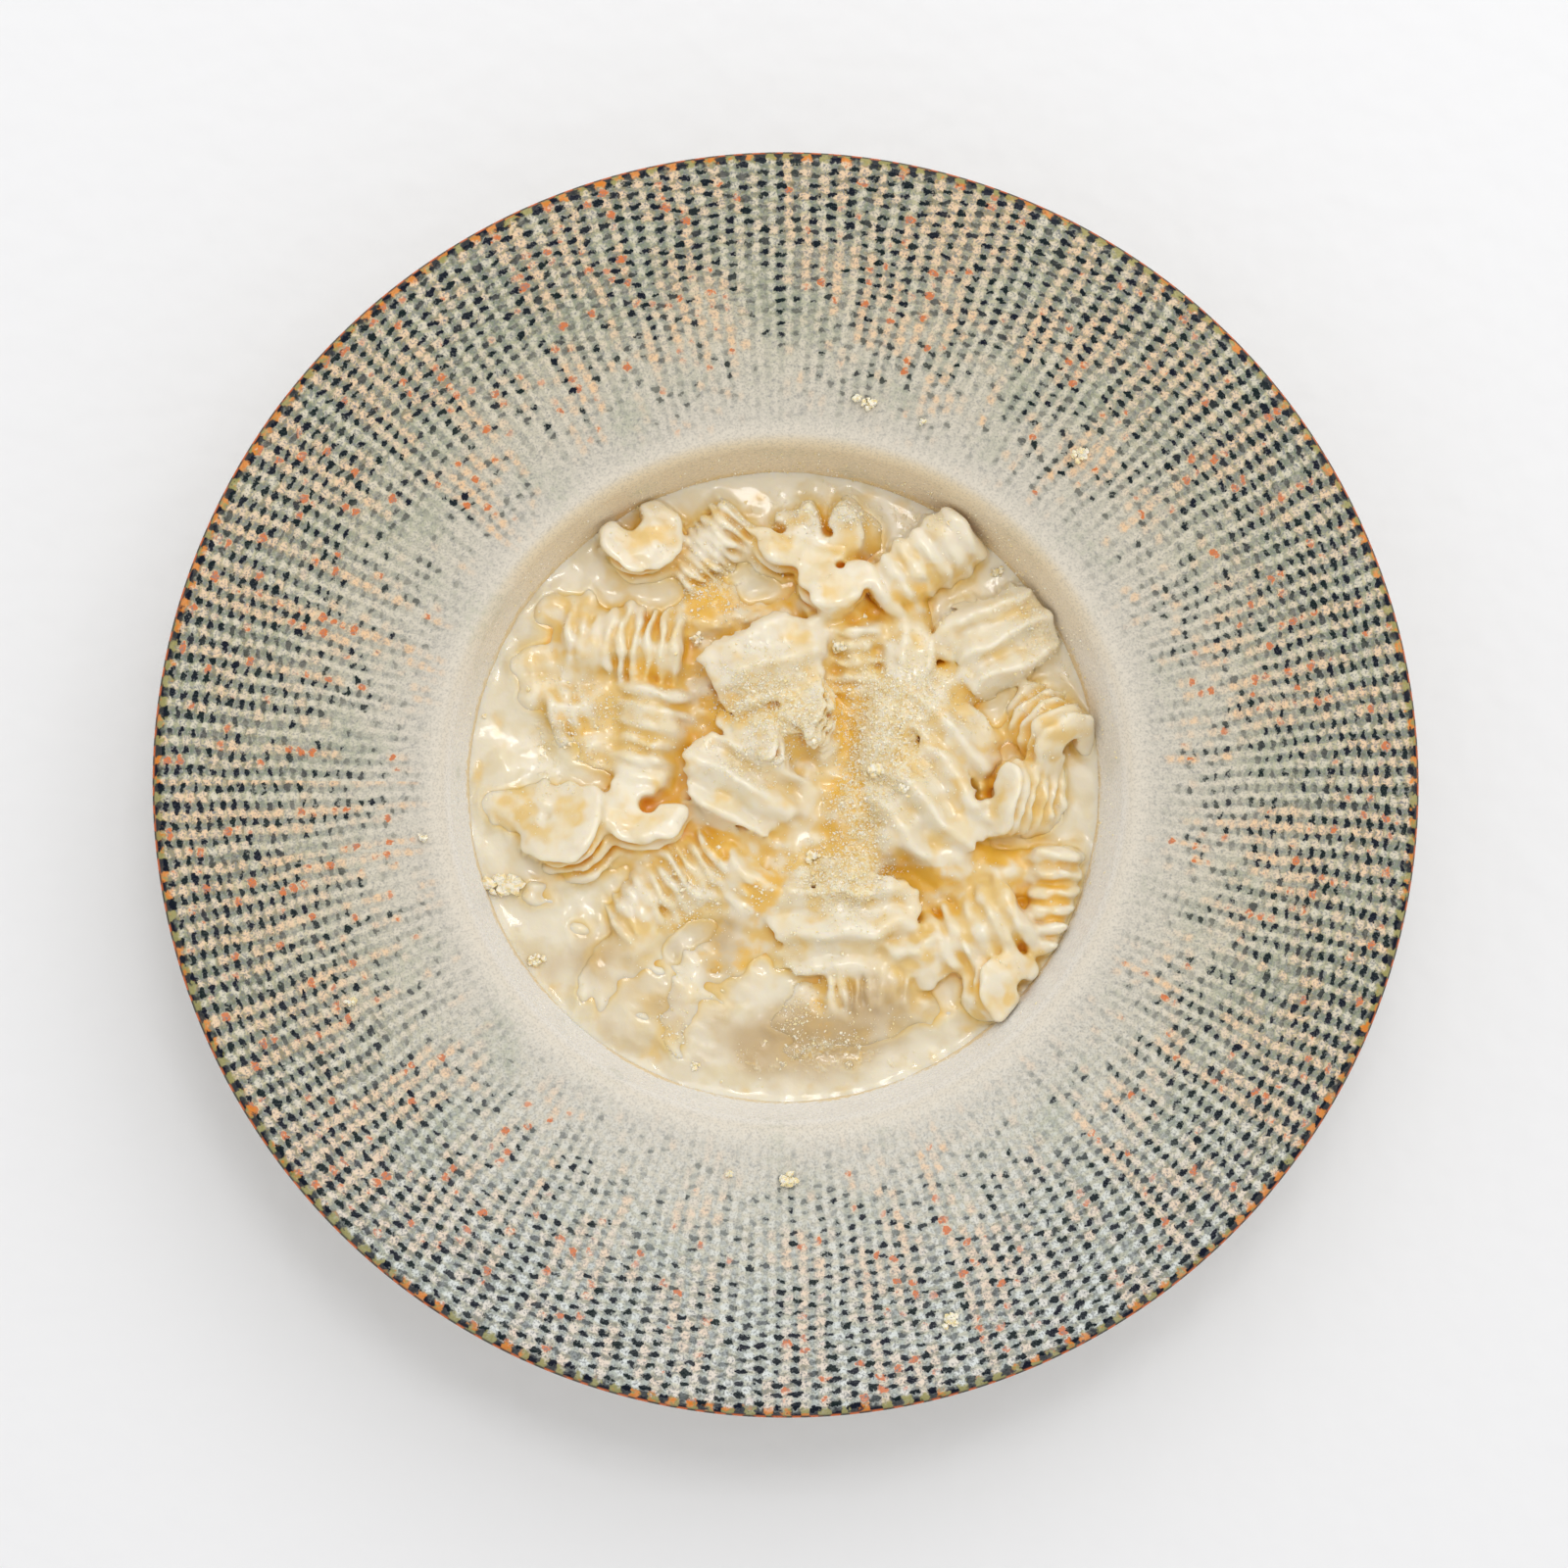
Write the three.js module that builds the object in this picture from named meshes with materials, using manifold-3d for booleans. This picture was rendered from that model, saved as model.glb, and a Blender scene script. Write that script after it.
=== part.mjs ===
// A bowl of radiatori: short, finned and curled pasta in a white cream sauce, in a wide-rimmed
// stoneware pasta bowl.
// Millimetres, +Z up. The origin is the centre of the foot, on the surface that the bowl stands on.
import * as THREE from "three";
import { mergeVertices } from "three/addons/utils/BufferGeometryUtils.js";
import Module from "manifold-3d";

const wasm = await Module();
wasm.setup();

// ---- Driving dimensions -------------------------------------------------------------------------

// Space kept between solids that touch in the real dish.
const GAP = 0.3;

// Bowl.
const BOWL_SIDES = 48;
const RIM_RADIUS = 140;
const BOWL_HEIGHT = 52;
const LIP_ROUND = 2.5;
const RIM_SLOPE = 8.2;
const SHOULDER_ROUND = 5;
const WALL_LEAN = 14;
const WALL_TOP = { r: 74.8, z: 39 };
const WELL_FLOOR = 9;
const WELL_FILLET = 18;
const BODY_THICKNESS = 5;
const FOOT_OUTER = 50;
const FOOT_INNER = 45;
const FOOT_RECESS = 2.5;
const FOOT_SPREAD = 4;

// Sauce and the bare core of the heap.
const SAUCE_LEVEL = 24;
const CORE = { x: 2, y: 2, radius: 55, wave: 1.6, waves: 7, top: 28.5, sides: 30 };

// A radiatore: a curled strip with fins round its outside.
const STRIP_THICKNESS = 1.6;
const FIN_ROOT = 2.3;
const FIN_TIP = 1.6;
const RUFFLE = 0.45;
const RUFFLE_WAVES = 5;
const DEGREES_PER_SIDE = 60;

// Each radiatore: its middle; `toward`, the compass direction in the plan (degrees from +X) that its
// axis leans to; `lean`, its degrees from upright; the side that the curl is `open` to before it leans;
// how far round it curls; its fins and their pitch; the curl's inner radius; the fins' outer radius, and
// how far their outer edge is shifted away from the opening.
const RADIATORI = [
  // Middle, toward, lean, open, curl, fins, pitch, inner, outer, shift.
  // Along the far wall, left to right.
  [[-34.5, 56.5, 23], 80, 25, 125, 235, 5, 3.4, 3.2, 9.3, 5],
  [[-15.8, 54.0, 24], 50, 65, 50, 260, 6, 3.3, 2.5, 7.5, 1],
  [[-2.6, 55.0, 24], 60, 30, 130, 290, 4, 3.6, 1.8, 7.6, 3],
  [[10.6, 60.0, 22], 250, 25, 90, 310, 5, 3.4, 1.6, 8.2, 1],
  [[12.2, 46.0, 24.5], 90, 25, 45, 315, 5, 3.4, 1.6, 8.4, 3],
  [[32.6, 48.0, 27], 37, 85, 97, 200, 6, 4.6, 6, 10.5, 0],
  [[49.0, 34.0, 30], 115, 88, 115, 120, 5, 5, 10.5, 14.5, 0],
  // Left side.
  [[-35.8, 32.0, 23], 355, 82, 355, 290, 7, 3.9, 2.6, 9.5, 1],
  [[-46.7, 18.0, 18.5], 200, 75, 200, 280, 5, 3.5, 2.2, 8.5, 0],
  [[-30.0, 12.5, 22], 80, 80, 80, 290, 6, 3.8, 2.5, 9.5, 1],
  [[-60.0, -5.5, 18.5], 0, 70, 0, 290, 5, 3.5, 2, 8, 0],
  [[-50.0, -10.3, 23], 135, 35, 150, 315, 5, 3.5, 1.8, 10.5, 3.5],
  [[-31.0, -6.8, 24], 90, 20, 25, 305, 5, 3.4, 2.4, 10, 1],
  // Middle, on top of the others.
  [[-1.5, 20.5, 26], 135, 38, 300, 315, 6, 3.6, 2.5, 12.3, 0],
  [[-10.3, -3.0, 31], 45, 88, 45, 120, 6, 4.6, 11, 15, 0],
  [[34.8, -4.2, 31.5], 45, 88, 45, 125, 6, 4.5, 10.5, 14.5, 0],
  [[13.9, -33.0, 30.5], 5, 88, 5, 115, 8, 4.2, 11, 14.5, 0],
  [[16.0, 29.0, 26], 95, 75, 95, 280, 5, 3.2, 1.6, 6.5, 0],
  [[27.5, 31.0, 27.5], 90, 88, 90, 110, 5, 3.8, 9, 12.5, 0],
  // Right side.
  [[60.0, 13.5, 26], 310, 50, 300, 300, 5, 3.4, 2.6, 9, 0],
  [[40.5, 13.5, 27.5], 40, 88, 40, 150, 5, 4.4, 8, 12, 0],
  [[52.0, -2.4, 25], 180, 50, 90, 300, 5, 3.5, 2.4, 10, 0],
  [[61.5, -25.8, 25], 90, 85, 90, 270, 6, 4.1, 2.4, 7.2, 0],
  [[44.5, -32.0, 25], 30, 80, 30, 270, 5, 4.4, 3, 9.8, 0],
  [[49.5, -45.5, 23], 0, 28, 355, 300, 5, 3.3, 2.2, 8.6, 3],
  // Along the near wall.
  [[-7.5, -22.5, 24], 60, 60, 60, 300, 4, 3.6, 2.4, 9, 0],
  [[-27.0, -25.0, 22.5], 35, 85, 35, 290, 8, 3.7, 2.6, 9.5, 0],
  [[-33.0, -44.5, 22], 63, 88, 63, 70, 7, 3.3, 13, 16.5, 0],
  [[-17.5, -48.5, 22], 75, 88, 75, 75, 6, 3.5, 12, 15.5, 0],
  [[19.4, -46.0, 22.5], 5, 85, 5, 280, 6, 3.7, 2.5, 9, 0],
  [[30.5, -38.0, 26], 120, 60, 120, 290, 4, 3.2, 1.6, 6.5, 0],
].map(([at, toward, lean, open, curl, fins, pitch, inner, outer, shift]) => {
  return { at, toward, lean, open, curl, fins, pitch, inner, outer, shift };
});

// Grated cheese heaped on the pasta, as low lumpy mounds: middle and half sizes.
const CHEESE_SIDES = 8;
const CHEESE_MOUNDS = [
  { at: [22.0, 10.0, 31], size: [9, 13, 4.5] },
  { at: [13.0, -18.0, 31], size: [8, 9, 5] },
  { at: [-2.0, 21.0, 37.5], size: [8, 6, 3] },
  { at: [15.0, -30.0, 36.5], size: [11, 5, 2.6] },
];

// ---- Geometry helpers ---------------------------------------------------------------------------

// A point of a lathe profile, `r` from the axis and `z` up.
function profilePoint(r, z) {
  return new THREE.Vector2(r, z);
}

// Points on a circle in the profile's plane, both ends included, from one angle to another.
function arc(centre, radius, fromDegrees, toDegrees, steps) {
  return Array.from({ length: steps + 1 }, (_, i) => {
    const angle = THREE.MathUtils.degToRad(fromDegrees + ((toDegrees - fromDegrees) * i) / steps);
    return profilePoint(centre.r + radius * Math.cos(angle), centre.z + radius * Math.sin(angle));
  });
}

// A solid of revolution about +Z. The profile runs counter-clockwise round the section, from the axis
// up to the axis again, or closes on itself.
function turned(profile, sides = BOWL_SIDES) {
  return new THREE.LatheGeometry(profile, sides).rotateX(Math.PI / 2);
}

// A closed geometry as a solid that can be joined and cut.
function solid(geometry) {
  const bare = geometry.clone();
  bare.deleteAttribute("normal");
  bare.deleteAttribute("uv");
  const merged = mergeVertices(bare, 1e-4);
  const made = new wasm.Manifold(
    new wasm.Mesh({
      numProp: 3,
      vertProperties: new Float32Array(merged.attributes.position.array),
      triVerts: new Uint32Array(merged.index.array),
    }),
  );
  if (made.volume() < 0) throw new Error("a geometry faces inwards");
  return made;
}

// The largest single body of a solid, with sealed hollows filled and loose scraps dropped.
function mainBody(made) {
  return made.decompose().reduce((best, body) => (body.volume() > best.volume() ? body : best));
}

// A solid as a geometry with flat facets.
function geometryOf(made) {
  const { numProp, vertProperties, triVerts } = made.getMesh();
  const position = new Float32Array((vertProperties.length / numProp) * 3);
  for (let i = 0; i < position.length / 3; i += 1) {
    position.set(vertProperties.subarray(i * numProp, i * numProp + 3), i * 3);
  }
  const geometry = new THREE.BufferGeometry();
  geometry.setAttribute("position", new THREE.BufferAttribute(position, 3));
  geometry.setIndex(new THREE.BufferAttribute(triVerts, 1));
  return geometry;
}

// ---- Bowl ---------------------------------------------------------------------------------------

// The inside of the well from the axis out to the top of its wall, `inset` away from the bowl's
// surface: a flat floor, a fillet and a leaning wall.
function wellProfile(inset) {
  const radius = WELL_FILLET - inset;
  const lean = THREE.MathUtils.degToRad(WALL_LEAN);
  const centreZ = WELL_FLOOR + WELL_FILLET;
  const wallFoot = centreZ - WELL_FILLET * Math.sin(lean);
  const footR = WALL_TOP.r - (WALL_TOP.z - wallFoot) * Math.tan(lean);
  const centre = { r: footR - WELL_FILLET * Math.cos(lean), z: centreZ };
  const topShift = { r: -inset * Math.cos(lean), z: inset * Math.sin(lean) };
  return [
    profilePoint(0, WELL_FLOOR + inset),
    ...arc(centre, radius, -90, -WALL_LEAN, 5),
    profilePoint(WALL_TOP.r + topShift.r, WALL_TOP.z + topShift.z),
  ];
}

// The centre of the shoulder, the round that turns the wall of the well over into the rim.
function shoulderCentre() {
  const lean = THREE.MathUtils.degToRad(WALL_LEAN);
  return {
    r: WALL_TOP.r + SHOULDER_ROUND * Math.cos(lean),
    z: WALL_TOP.z - SHOULDER_ROUND * Math.sin(lean),
  };
}

function bowlGeometry() {
  const slope = THREE.MathUtils.degToRad(RIM_SLOPE);
  const shoulder = shoulderCentre();
  const lip = { r: RIM_RADIUS - LIP_ROUND, z: BOWL_HEIGHT - LIP_ROUND };
  const underLip = profilePoint(lip.r + LIP_ROUND * Math.sin(slope), lip.z - LIP_ROUND * Math.cos(slope));
  const underShoulderR = shoulder.r + 4;
  const underShoulderZ = underLip.y - (underLip.x - underShoulderR) * Math.tan(slope);
  const inner = [
    ...wellProfile(0),
    ...arc(shoulder, SHOULDER_ROUND, 180 - WALL_LEAN, 90 + RIM_SLOPE, 3).slice(1),
    ...arc(lip, LIP_ROUND, 90 + RIM_SLOPE, RIM_SLOPE - 90, 4),
  ];
  const outer = [
    profilePoint(underShoulderR, underShoulderZ),
    profilePoint(WALL_TOP.r + BODY_THICKNESS - 0.4, WALL_TOP.z - 8),
    profilePoint(WALL_TOP.r + BODY_THICKNESS - 4.6, WALL_TOP.z - 20),
    profilePoint(FOOT_OUTER + 13, FOOT_SPREAD + 4.5),
    profilePoint(FOOT_OUTER + 3, FOOT_SPREAD),
    profilePoint(FOOT_OUTER, 0),
    profilePoint(FOOT_INNER, 0),
    profilePoint(FOOT_INNER - 2, FOOT_RECESS),
    profilePoint(0, FOOT_RECESS),
  ];
  return turned([...inner, ...outer].reverse());
}

// ---- Radiatori ----------------------------------------------------------------------------------

// The section of the strip with its fins, as points of axial place and radial share: share 0 is the
// inside of the curl, 1 the outside of the strip, and 2 the edge of the fins.
function combSection({ fins, pitch }) {
  const half = ((fins - 1) * pitch) / 2;
  const end = half + FIN_ROOT / 2;
  const section = [
    { along: -end, share: 0 },
    { along: end, share: 0 },
  ];
  for (let fin = fins - 1; fin >= 0; fin -= 1) {
    const middle = fin * pitch - half;
    section.push({ along: middle + FIN_ROOT / 2, share: 1 });
    section.push({ along: middle + FIN_TIP / 2, share: 2 });
    section.push({ along: middle - FIN_TIP / 2, share: 2 });
    section.push({ along: middle - FIN_ROOT / 2, share: 1 });
  }
  return section;
}

// How far from the curl's centre the edge of the fins is, at an angle from the middle of its back.
function finEdge({ outer, shift }, fromBack) {
  return shift * Math.cos(fromBack) + Math.sqrt(outer ** 2 - (shift * Math.sin(fromBack)) ** 2);
}

// One radiatore about its own upright axis, open towards +X, with the middle of its strip at the origin.
function radiatoreGeometry(piece) {
  const section = combSection(piece);
  const curl = THREE.MathUtils.degToRad(piece.curl);
  const sides = Math.ceil(piece.curl / DEGREES_PER_SIDE);
  const stripEdge = piece.inner + STRIP_THICKNESS;
  const middle = (stripEdge * Math.sin(curl / 2)) / (curl / 2);
  const positions = [];
  for (let side = 0; side <= sides; side += 1) {
    const fromBack = -curl / 2 + (curl * side) / sides;
    const angle = Math.PI + fromBack;
    const radii = [piece.inner, stripEdge, finEdge(piece, fromBack)];
    for (const { along, share } of section) {
      const wave = share === 2 ? RUFFLE * Math.sin(RUFFLE_WAVES * fromBack + along) : 0;
      positions.push(radii[share] * Math.cos(angle) + middle, radii[share] * Math.sin(angle), along + wave);
    }
  }
  const count = section.length;
  const indices = [];
  for (let side = 0; side < sides; side += 1) {
    for (let i = 0; i < count; i += 1) {
      const a = side * count + i;
      const b = side * count + ((i + 1) % count);
      indices.push(a, b, b + count, a, b + count, a + count);
    }
  }
  const outline = section.map(({ along, share }) => new THREE.Vector2(along, share));
  for (const [i, j, k] of THREE.ShapeUtils.triangulateShape(outline, [])) {
    indices.push(i, k, j, i + sides * count, j + sides * count, k + sides * count);
  }
  const geometry = new THREE.BufferGeometry();
  geometry.setAttribute("position", new THREE.Float32BufferAttribute(positions, 3));
  geometry.setIndex(indices);
  return geometry;
}

// Turns a radiatore to face its opening, leans it, and lays it in its place in the heap.
function placedRadiatore(piece) {
  const toward = THREE.MathUtils.degToRad(piece.toward);
  const hinge = new THREE.Vector3(-Math.sin(toward), Math.cos(toward), 0);
  const leaning = new THREE.Matrix4().makeRotationAxis(hinge, THREE.MathUtils.degToRad(piece.lean));
  const facing = new THREE.Matrix4().makeRotationZ(THREE.MathUtils.degToRad(piece.open));
  const place = new THREE.Matrix4().makeTranslation(...piece.at).multiply(leaning).multiply(facing);
  return radiatoreGeometry(piece).applyMatrix4(place);
}

// ---- Heap and sauce -----------------------------------------------------------------------------

// The bare core of the heap, `grown` outwards: upright through the sauce with a wavy outline, and domed
// on top.
function coreGeometry(grown) {
  const { radius, top } = CORE;
  const edge = SAUCE_LEVEL + 1.5;
  const profile = [
    profilePoint(0, WELL_FLOOR - 1),
    profilePoint(radius + grown, WELL_FLOOR - 1),
    profilePoint(radius + grown, edge + grown),
    profilePoint(radius * 0.75, (edge + top) / 2 + grown),
    profilePoint(radius * 0.4, top + grown),
    profilePoint(0, top + grown),
  ];
  const geometry = turned(profile, CORE.sides);
  const position = geometry.attributes.position;
  for (let i = 0; i < position.count; i += 1) {
    const x = position.getX(i);
    const y = position.getY(i);
    const reach = Math.hypot(x, y);
    const swell = 1 + ((CORE.wave / radius) * Math.sin(CORE.waves * Math.atan2(y, x)) * reach) / radius;
    position.setXY(i, CORE.x + x * swell, CORE.y + y * swell);
  }
  return geometry;
}

// The space inside the well that food can fill, between two heights, clear of the bowl by `inset`.
function wellSpace(fromHeight, toHeight, inset) {
  const wall = wellProfile(inset);
  const top = wall[wall.length - 1];
  const roof = profilePoint(top.x, BOWL_HEIGHT);
  const whole = solid(turned([...wall, roof, profilePoint(0, BOWL_HEIGHT)]));
  const slab = solid(turned([
    profilePoint(0, fromHeight),
    profilePoint(RIM_RADIUS, fromHeight),
    profilePoint(RIM_RADIUS, toHeight),
    profilePoint(0, toHeight),
  ]));
  return whole.intersect(slab);
}

function sauceSolid() {
  return mainBody(wellSpace(0, SAUCE_LEVEL, GAP).subtract(solid(coreGeometry(GAP))));
}

// A low mound of grated cheese, rough from facet to facet.
function cheeseGeometry({ at, size }) {
  const geometry = new THREE.SphereGeometry(1, CHEESE_SIDES, CHEESE_SIDES / 2);
  geometry.scale(...size);
  geometry.translate(...at);
  return geometry;
}

function heapSolid() {
  const clear = GAP + 0.2;
  const aboveSauce = wellSpace(SAUCE_LEVEL + GAP, BOWL_HEIGHT, clear);
  const core = solid(coreGeometry(0)).intersect(wellSpace(0, SAUCE_LEVEL * 2, clear));
  let pieces = solid(cheeseGeometry(CHEESE_MOUNDS[0]));
  for (const mound of CHEESE_MOUNDS.slice(1)) {
    pieces = pieces.add(solid(cheeseGeometry(mound)));
  }
  for (const piece of RADIATORI) {
    pieces = pieces.add(solid(placedRadiatore(piece)));
  }
  return mainBody(core.add(pieces.intersect(aboveSauce)));
}

// ---- The dish -----------------------------------------------------------------------------------

function part(name, geometry, material) {
  const mesh = new THREE.Mesh(geometry, new THREE.MeshStandardMaterial({ ...material, flatShading: true }));
  mesh.name = name;
  return mesh;
}

const dish = new THREE.Group();
dish.add(part("bowl", bowlGeometry(), { color: 0xa8a08c, roughness: 0.42, metalness: 0 }));
dish.add(part("sauce", geometryOf(sauceSolid()), { color: 0xe9e0c6, roughness: 0.25, metalness: 0 }));
dish.add(part("radiatori", geometryOf(heapSolid()), { color: 0xf0deb4, roughness: 0.35, metalness: 0 }));

export default dish;
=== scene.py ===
"""A bowl of radiatori in white cream sauce with grated cheese, in a wide-rimmed stoneware bowl."""
import math
from collections import namedtuple
from itertools import starmap

import bmesh
import bpy
import numpy as np
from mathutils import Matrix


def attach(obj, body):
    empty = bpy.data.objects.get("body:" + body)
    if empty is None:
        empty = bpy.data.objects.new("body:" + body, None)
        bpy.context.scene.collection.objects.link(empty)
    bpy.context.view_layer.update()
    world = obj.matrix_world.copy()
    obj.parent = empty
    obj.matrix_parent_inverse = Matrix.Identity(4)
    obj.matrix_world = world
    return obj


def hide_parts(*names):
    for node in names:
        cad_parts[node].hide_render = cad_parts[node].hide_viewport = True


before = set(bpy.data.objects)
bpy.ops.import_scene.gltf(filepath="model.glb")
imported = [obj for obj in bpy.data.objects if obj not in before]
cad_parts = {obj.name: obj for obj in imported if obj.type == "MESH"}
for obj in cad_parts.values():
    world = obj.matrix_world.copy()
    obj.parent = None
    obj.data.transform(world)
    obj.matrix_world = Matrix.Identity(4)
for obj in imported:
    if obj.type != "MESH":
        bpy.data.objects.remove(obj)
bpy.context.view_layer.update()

import openvdb
from mathutils import Matrix, Vector

MM = 0.001
SEED = 20

# ---- Sizes, in millimetres -----------------------------------------------

RIM_RADIUS = 140.0
BOWL_HEIGHT = 52.0
LIP_ROUND = 2.5
RIM_SLOPE = math.radians(8.2)
SHOULDER_ROUND = 5.0
WALL_LEAN = math.radians(14)
WALL_TOP_R, WALL_TOP_Z = 74.8, 39.0
WELL_FLOOR = 9.0
WELL_FILLET = 18.0
BODY_THICKNESS = 5.0
FOOT_OUTER, FOOT_INNER, FOOT_RECESS, FOOT_SPREAD = 50.0, 45.0, 2.5, 4.0
SAUCE_LEVEL = 24.0
GAP = 0.3

# The woven glaze: rows of dashes that run out from the well, and the pitch of the dashes along a row.
GLAZE_ROWS = 204
DASH_PITCH = 2.49
WEAVE_RELIEF = 0.14

# How finely the bowl and the surface of the sauce are divided.
RIM_RINGS = 100
SIDES_PER_ROW = 4
SAUCE_RINGS, SAUCE_SIDES = 130, 560

# A radiatore: a curled strip with fins round its outside. A fin fills these shares of the pitch at its
# root and tip, and waves to and fro as it goes round.
STRIP_THICKNESS = 1.6
FIN_ROOT = 0.68
FIN_TIP = 0.5
RUFFLE = 0.45
RUFFLE_WAVES = 5

# The core under the pieces that show: the middle, the reach and the top of its dome.
CORE_X, CORE_Y, CORE_RADIUS, CORE_TOP = 2.0, 2.0, 55.0, 28.5

# The block of space in which the heap is worked out, and how far from a surface its field goes on.
HEAP_LOW = (-74, -74, 20)
HEAP_HIGH = (74, 74, 46)
VOXEL = 0.5
FAR = 3.0

# Each radiatore: its middle; its axis, leaning from upright toward a compass direction in the plan
# (degrees from +X); the side that the curl is open to before it leans; how far round it curls; its fins
# and their pitch; the curl's inner radius; the fins' outer radius and how far the outer edge is shifted
# away from the opening; and how far cream fills its grooves.
Radiatore = namedtuple("Radiatore", "x y z toward lean open curl fins pitch inner outer shift coat")

LOWER_PIECES = list(starmap(Radiatore, [
    # Along the far wall, left to right.
    (-34.5, 56.5, 23, 80, 20, 125, 235, 5, 3.4, 3.2, 9.3, 5, 0.7),
    (-15.8, 54, 23.5, 50, 75, 50, 260, 9, 2.3, 2.5, 7.9, 1, 0.3),
    (-2.6, 55, 24, 60, 30, 130, 290, 4, 3.6, 1.8, 7.6, 3, 0.6),
    (10.6, 60, 22, 250, 25, 90, 310, 5, 3.4, 1.6, 8.2, 1, 0.9),
    (12.2, 46, 24.5, 90, 25, 45, 315, 5, 3.4, 1.6, 8.4, 3, 0.7),
    # Left side.
    (-35.8, 32, 23, 355, 82, 355, 290, 9, 3, 2.6, 9.5, 1, 0.6),
    (-51, 40, 19, 0, 85, 0, 270, 5, 3.6, 2.2, 8.4, 0, 0.9),
    (-53.5, 28.5, 19.5, 20, 85, 20, 270, 5, 3.5, 2.2, 8.2, 0, 0.85),
    (-46.7, 18, 21, 200, 75, 200, 280, 5, 3.5, 2.2, 8.5, 0, 0.85),
    (-30, 12.5, 22, 80, 80, 80, 290, 6, 3.8, 2.5, 9.5, 1, 0.75),
    (-60, -5.5, 20.5, 0, 70, 0, 290, 5, 3.5, 2, 8, 0, 0.9),
    (-50, -10.3, 23, 135, 35, 150, 315, 5, 3.5, 1.8, 10.5, 3.5, 0.6),
    (-31, -6.8, 24, 90, 20, 25, 305, 5, 3.4, 2.4, 10, 1, 0.6),
    # Right side.
    (16, 29, 26, 95, 75, 95, 280, 5, 3.2, 1.6, 6.5, 0, 0.4),
    (60, 13.5, 26, 310, 50, 300, 300, 5, 3.4, 2.6, 9, 0, 0.6),
    (52, -2.4, 25, 180, 50, 90, 300, 6, 3, 2.4, 10, 0, 0.6),
    (61, -25.8, 25, 90, 85, 90, 270, 6, 4.1, 2.4, 7.2, 0, 0.25),
    (44.5, -32, 25, 30, 80, 30, 270, 5, 4.4, 3, 9.8, 0, 0.65),
    (49.5, -45.5, 23, 0, 28, 355, 300, 5, 3.3, 2.2, 8.6, 3, 0.8),
    # Along the near wall.
    (-7.5, -22.5, 24, 60, 60, 60, 300, 4, 3.6, 2.4, 9, 0, 0.9),
    (-26, -24, 22.5, 35, 85, 35, 290, 10, 3, 2.6, 9.5, 0, 0.5),
    (-44, -33, 18, 20, 85, 20, 280, 5, 3.6, 2.2, 8.5, 0, 0.8),
    (19.4, -46, 22.5, 5, 85, 5, 280, 7, 2.9, 2.5, 9, 0, 0.45),
    (30.5, -38, 26, 120, 60, 120, 290, 4, 3.2, 1.6, 6.5, 0, 0.9),
    # Nearly sunk: only a comb of fin tips shows.
    (-30.3, -48.3, 20.4, 62, 88, 62, 290, 8, 2.6, 2.2, 6.2, 0, 0.3),
    (-15, -51.2, 20.6, 65, 88, 65, 290, 9, 2.7, 2.2, 6.2, 0, 0.3),
]))
UPPER_PIECES = list(starmap(Radiatore, [
    (-1, 15, 27, 130, 30, 300, 330, 7, 2.2, 2.5, 13.2, 0, 0.4),
    (32.6, 49, 27, 37, 85, 97, 200, 6, 4.6, 6, 10.5, 0, 0.5),
]))

# A flattened radiatore that lies on the heap, its broad folds showing: its middle; the way that the
# folds run in the plan; its roll about that way and the dip of its far end; its length and width; the
# pitch and height of its folds; how far its sides curl down; and the size of the teeth round its edge.
Sheet = namedtuple("Sheet", "x y z along roll dip length width pitch fold fall teeth")
SHEET_THICKNESS = 2.0

SHEETS = list(starmap(Sheet, [
    (32.3, -5, 32.6, -47, 4, 2, 28, 25, 9, 3.4, 5, 1.6),
    (38.5, 11, 30.4, -50, -12, 6, 24, 16, 8.2, 2.4, 3.4, 0.8),
    (49.4, 33.3, 31, 28, 4, 5, 28, 23, 7.6, 3.6, 5, 1.5),
    (-9.6, -0.6, 32.6, -28, 3, 6, 29, 22, 7.6, 3.4, 5.4, 1.5),
    (13.5, -32, 31.5, 5, 14, -3, 34, 24, 9.5, 3.4, 5.2, 1.6),
    (27.2, 29.6, 30.4, 95, -6, 8, 18, 13, 7, 1.2, 3, 0.8),
    (-4.2, 27, 35.4, 20, 4, 4, 28, 22, 9, 2.4, 7.5, 1.6),
    (-37.5, -45.5, 24.2, 62, 5, 0, 26, 17, 9, 0.7, 0.8, 1.6),
    (-21.5, -48, 24.4, 72, 6, 0, 28, 12, 8, 0.7, 0.8, 1.6),
    (12, -50.5, 25.6, 0, -4, 0, 30, 18, 12, 0.8, 3, 0.8),
]))

# Soft bulges where pasta or cheese lies just under the surface: the middle and the height of each, its
# reach along and across, and how far it is turned in the plan.
Mound = namedtuple("Mound", "x y top along across turn")

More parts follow.
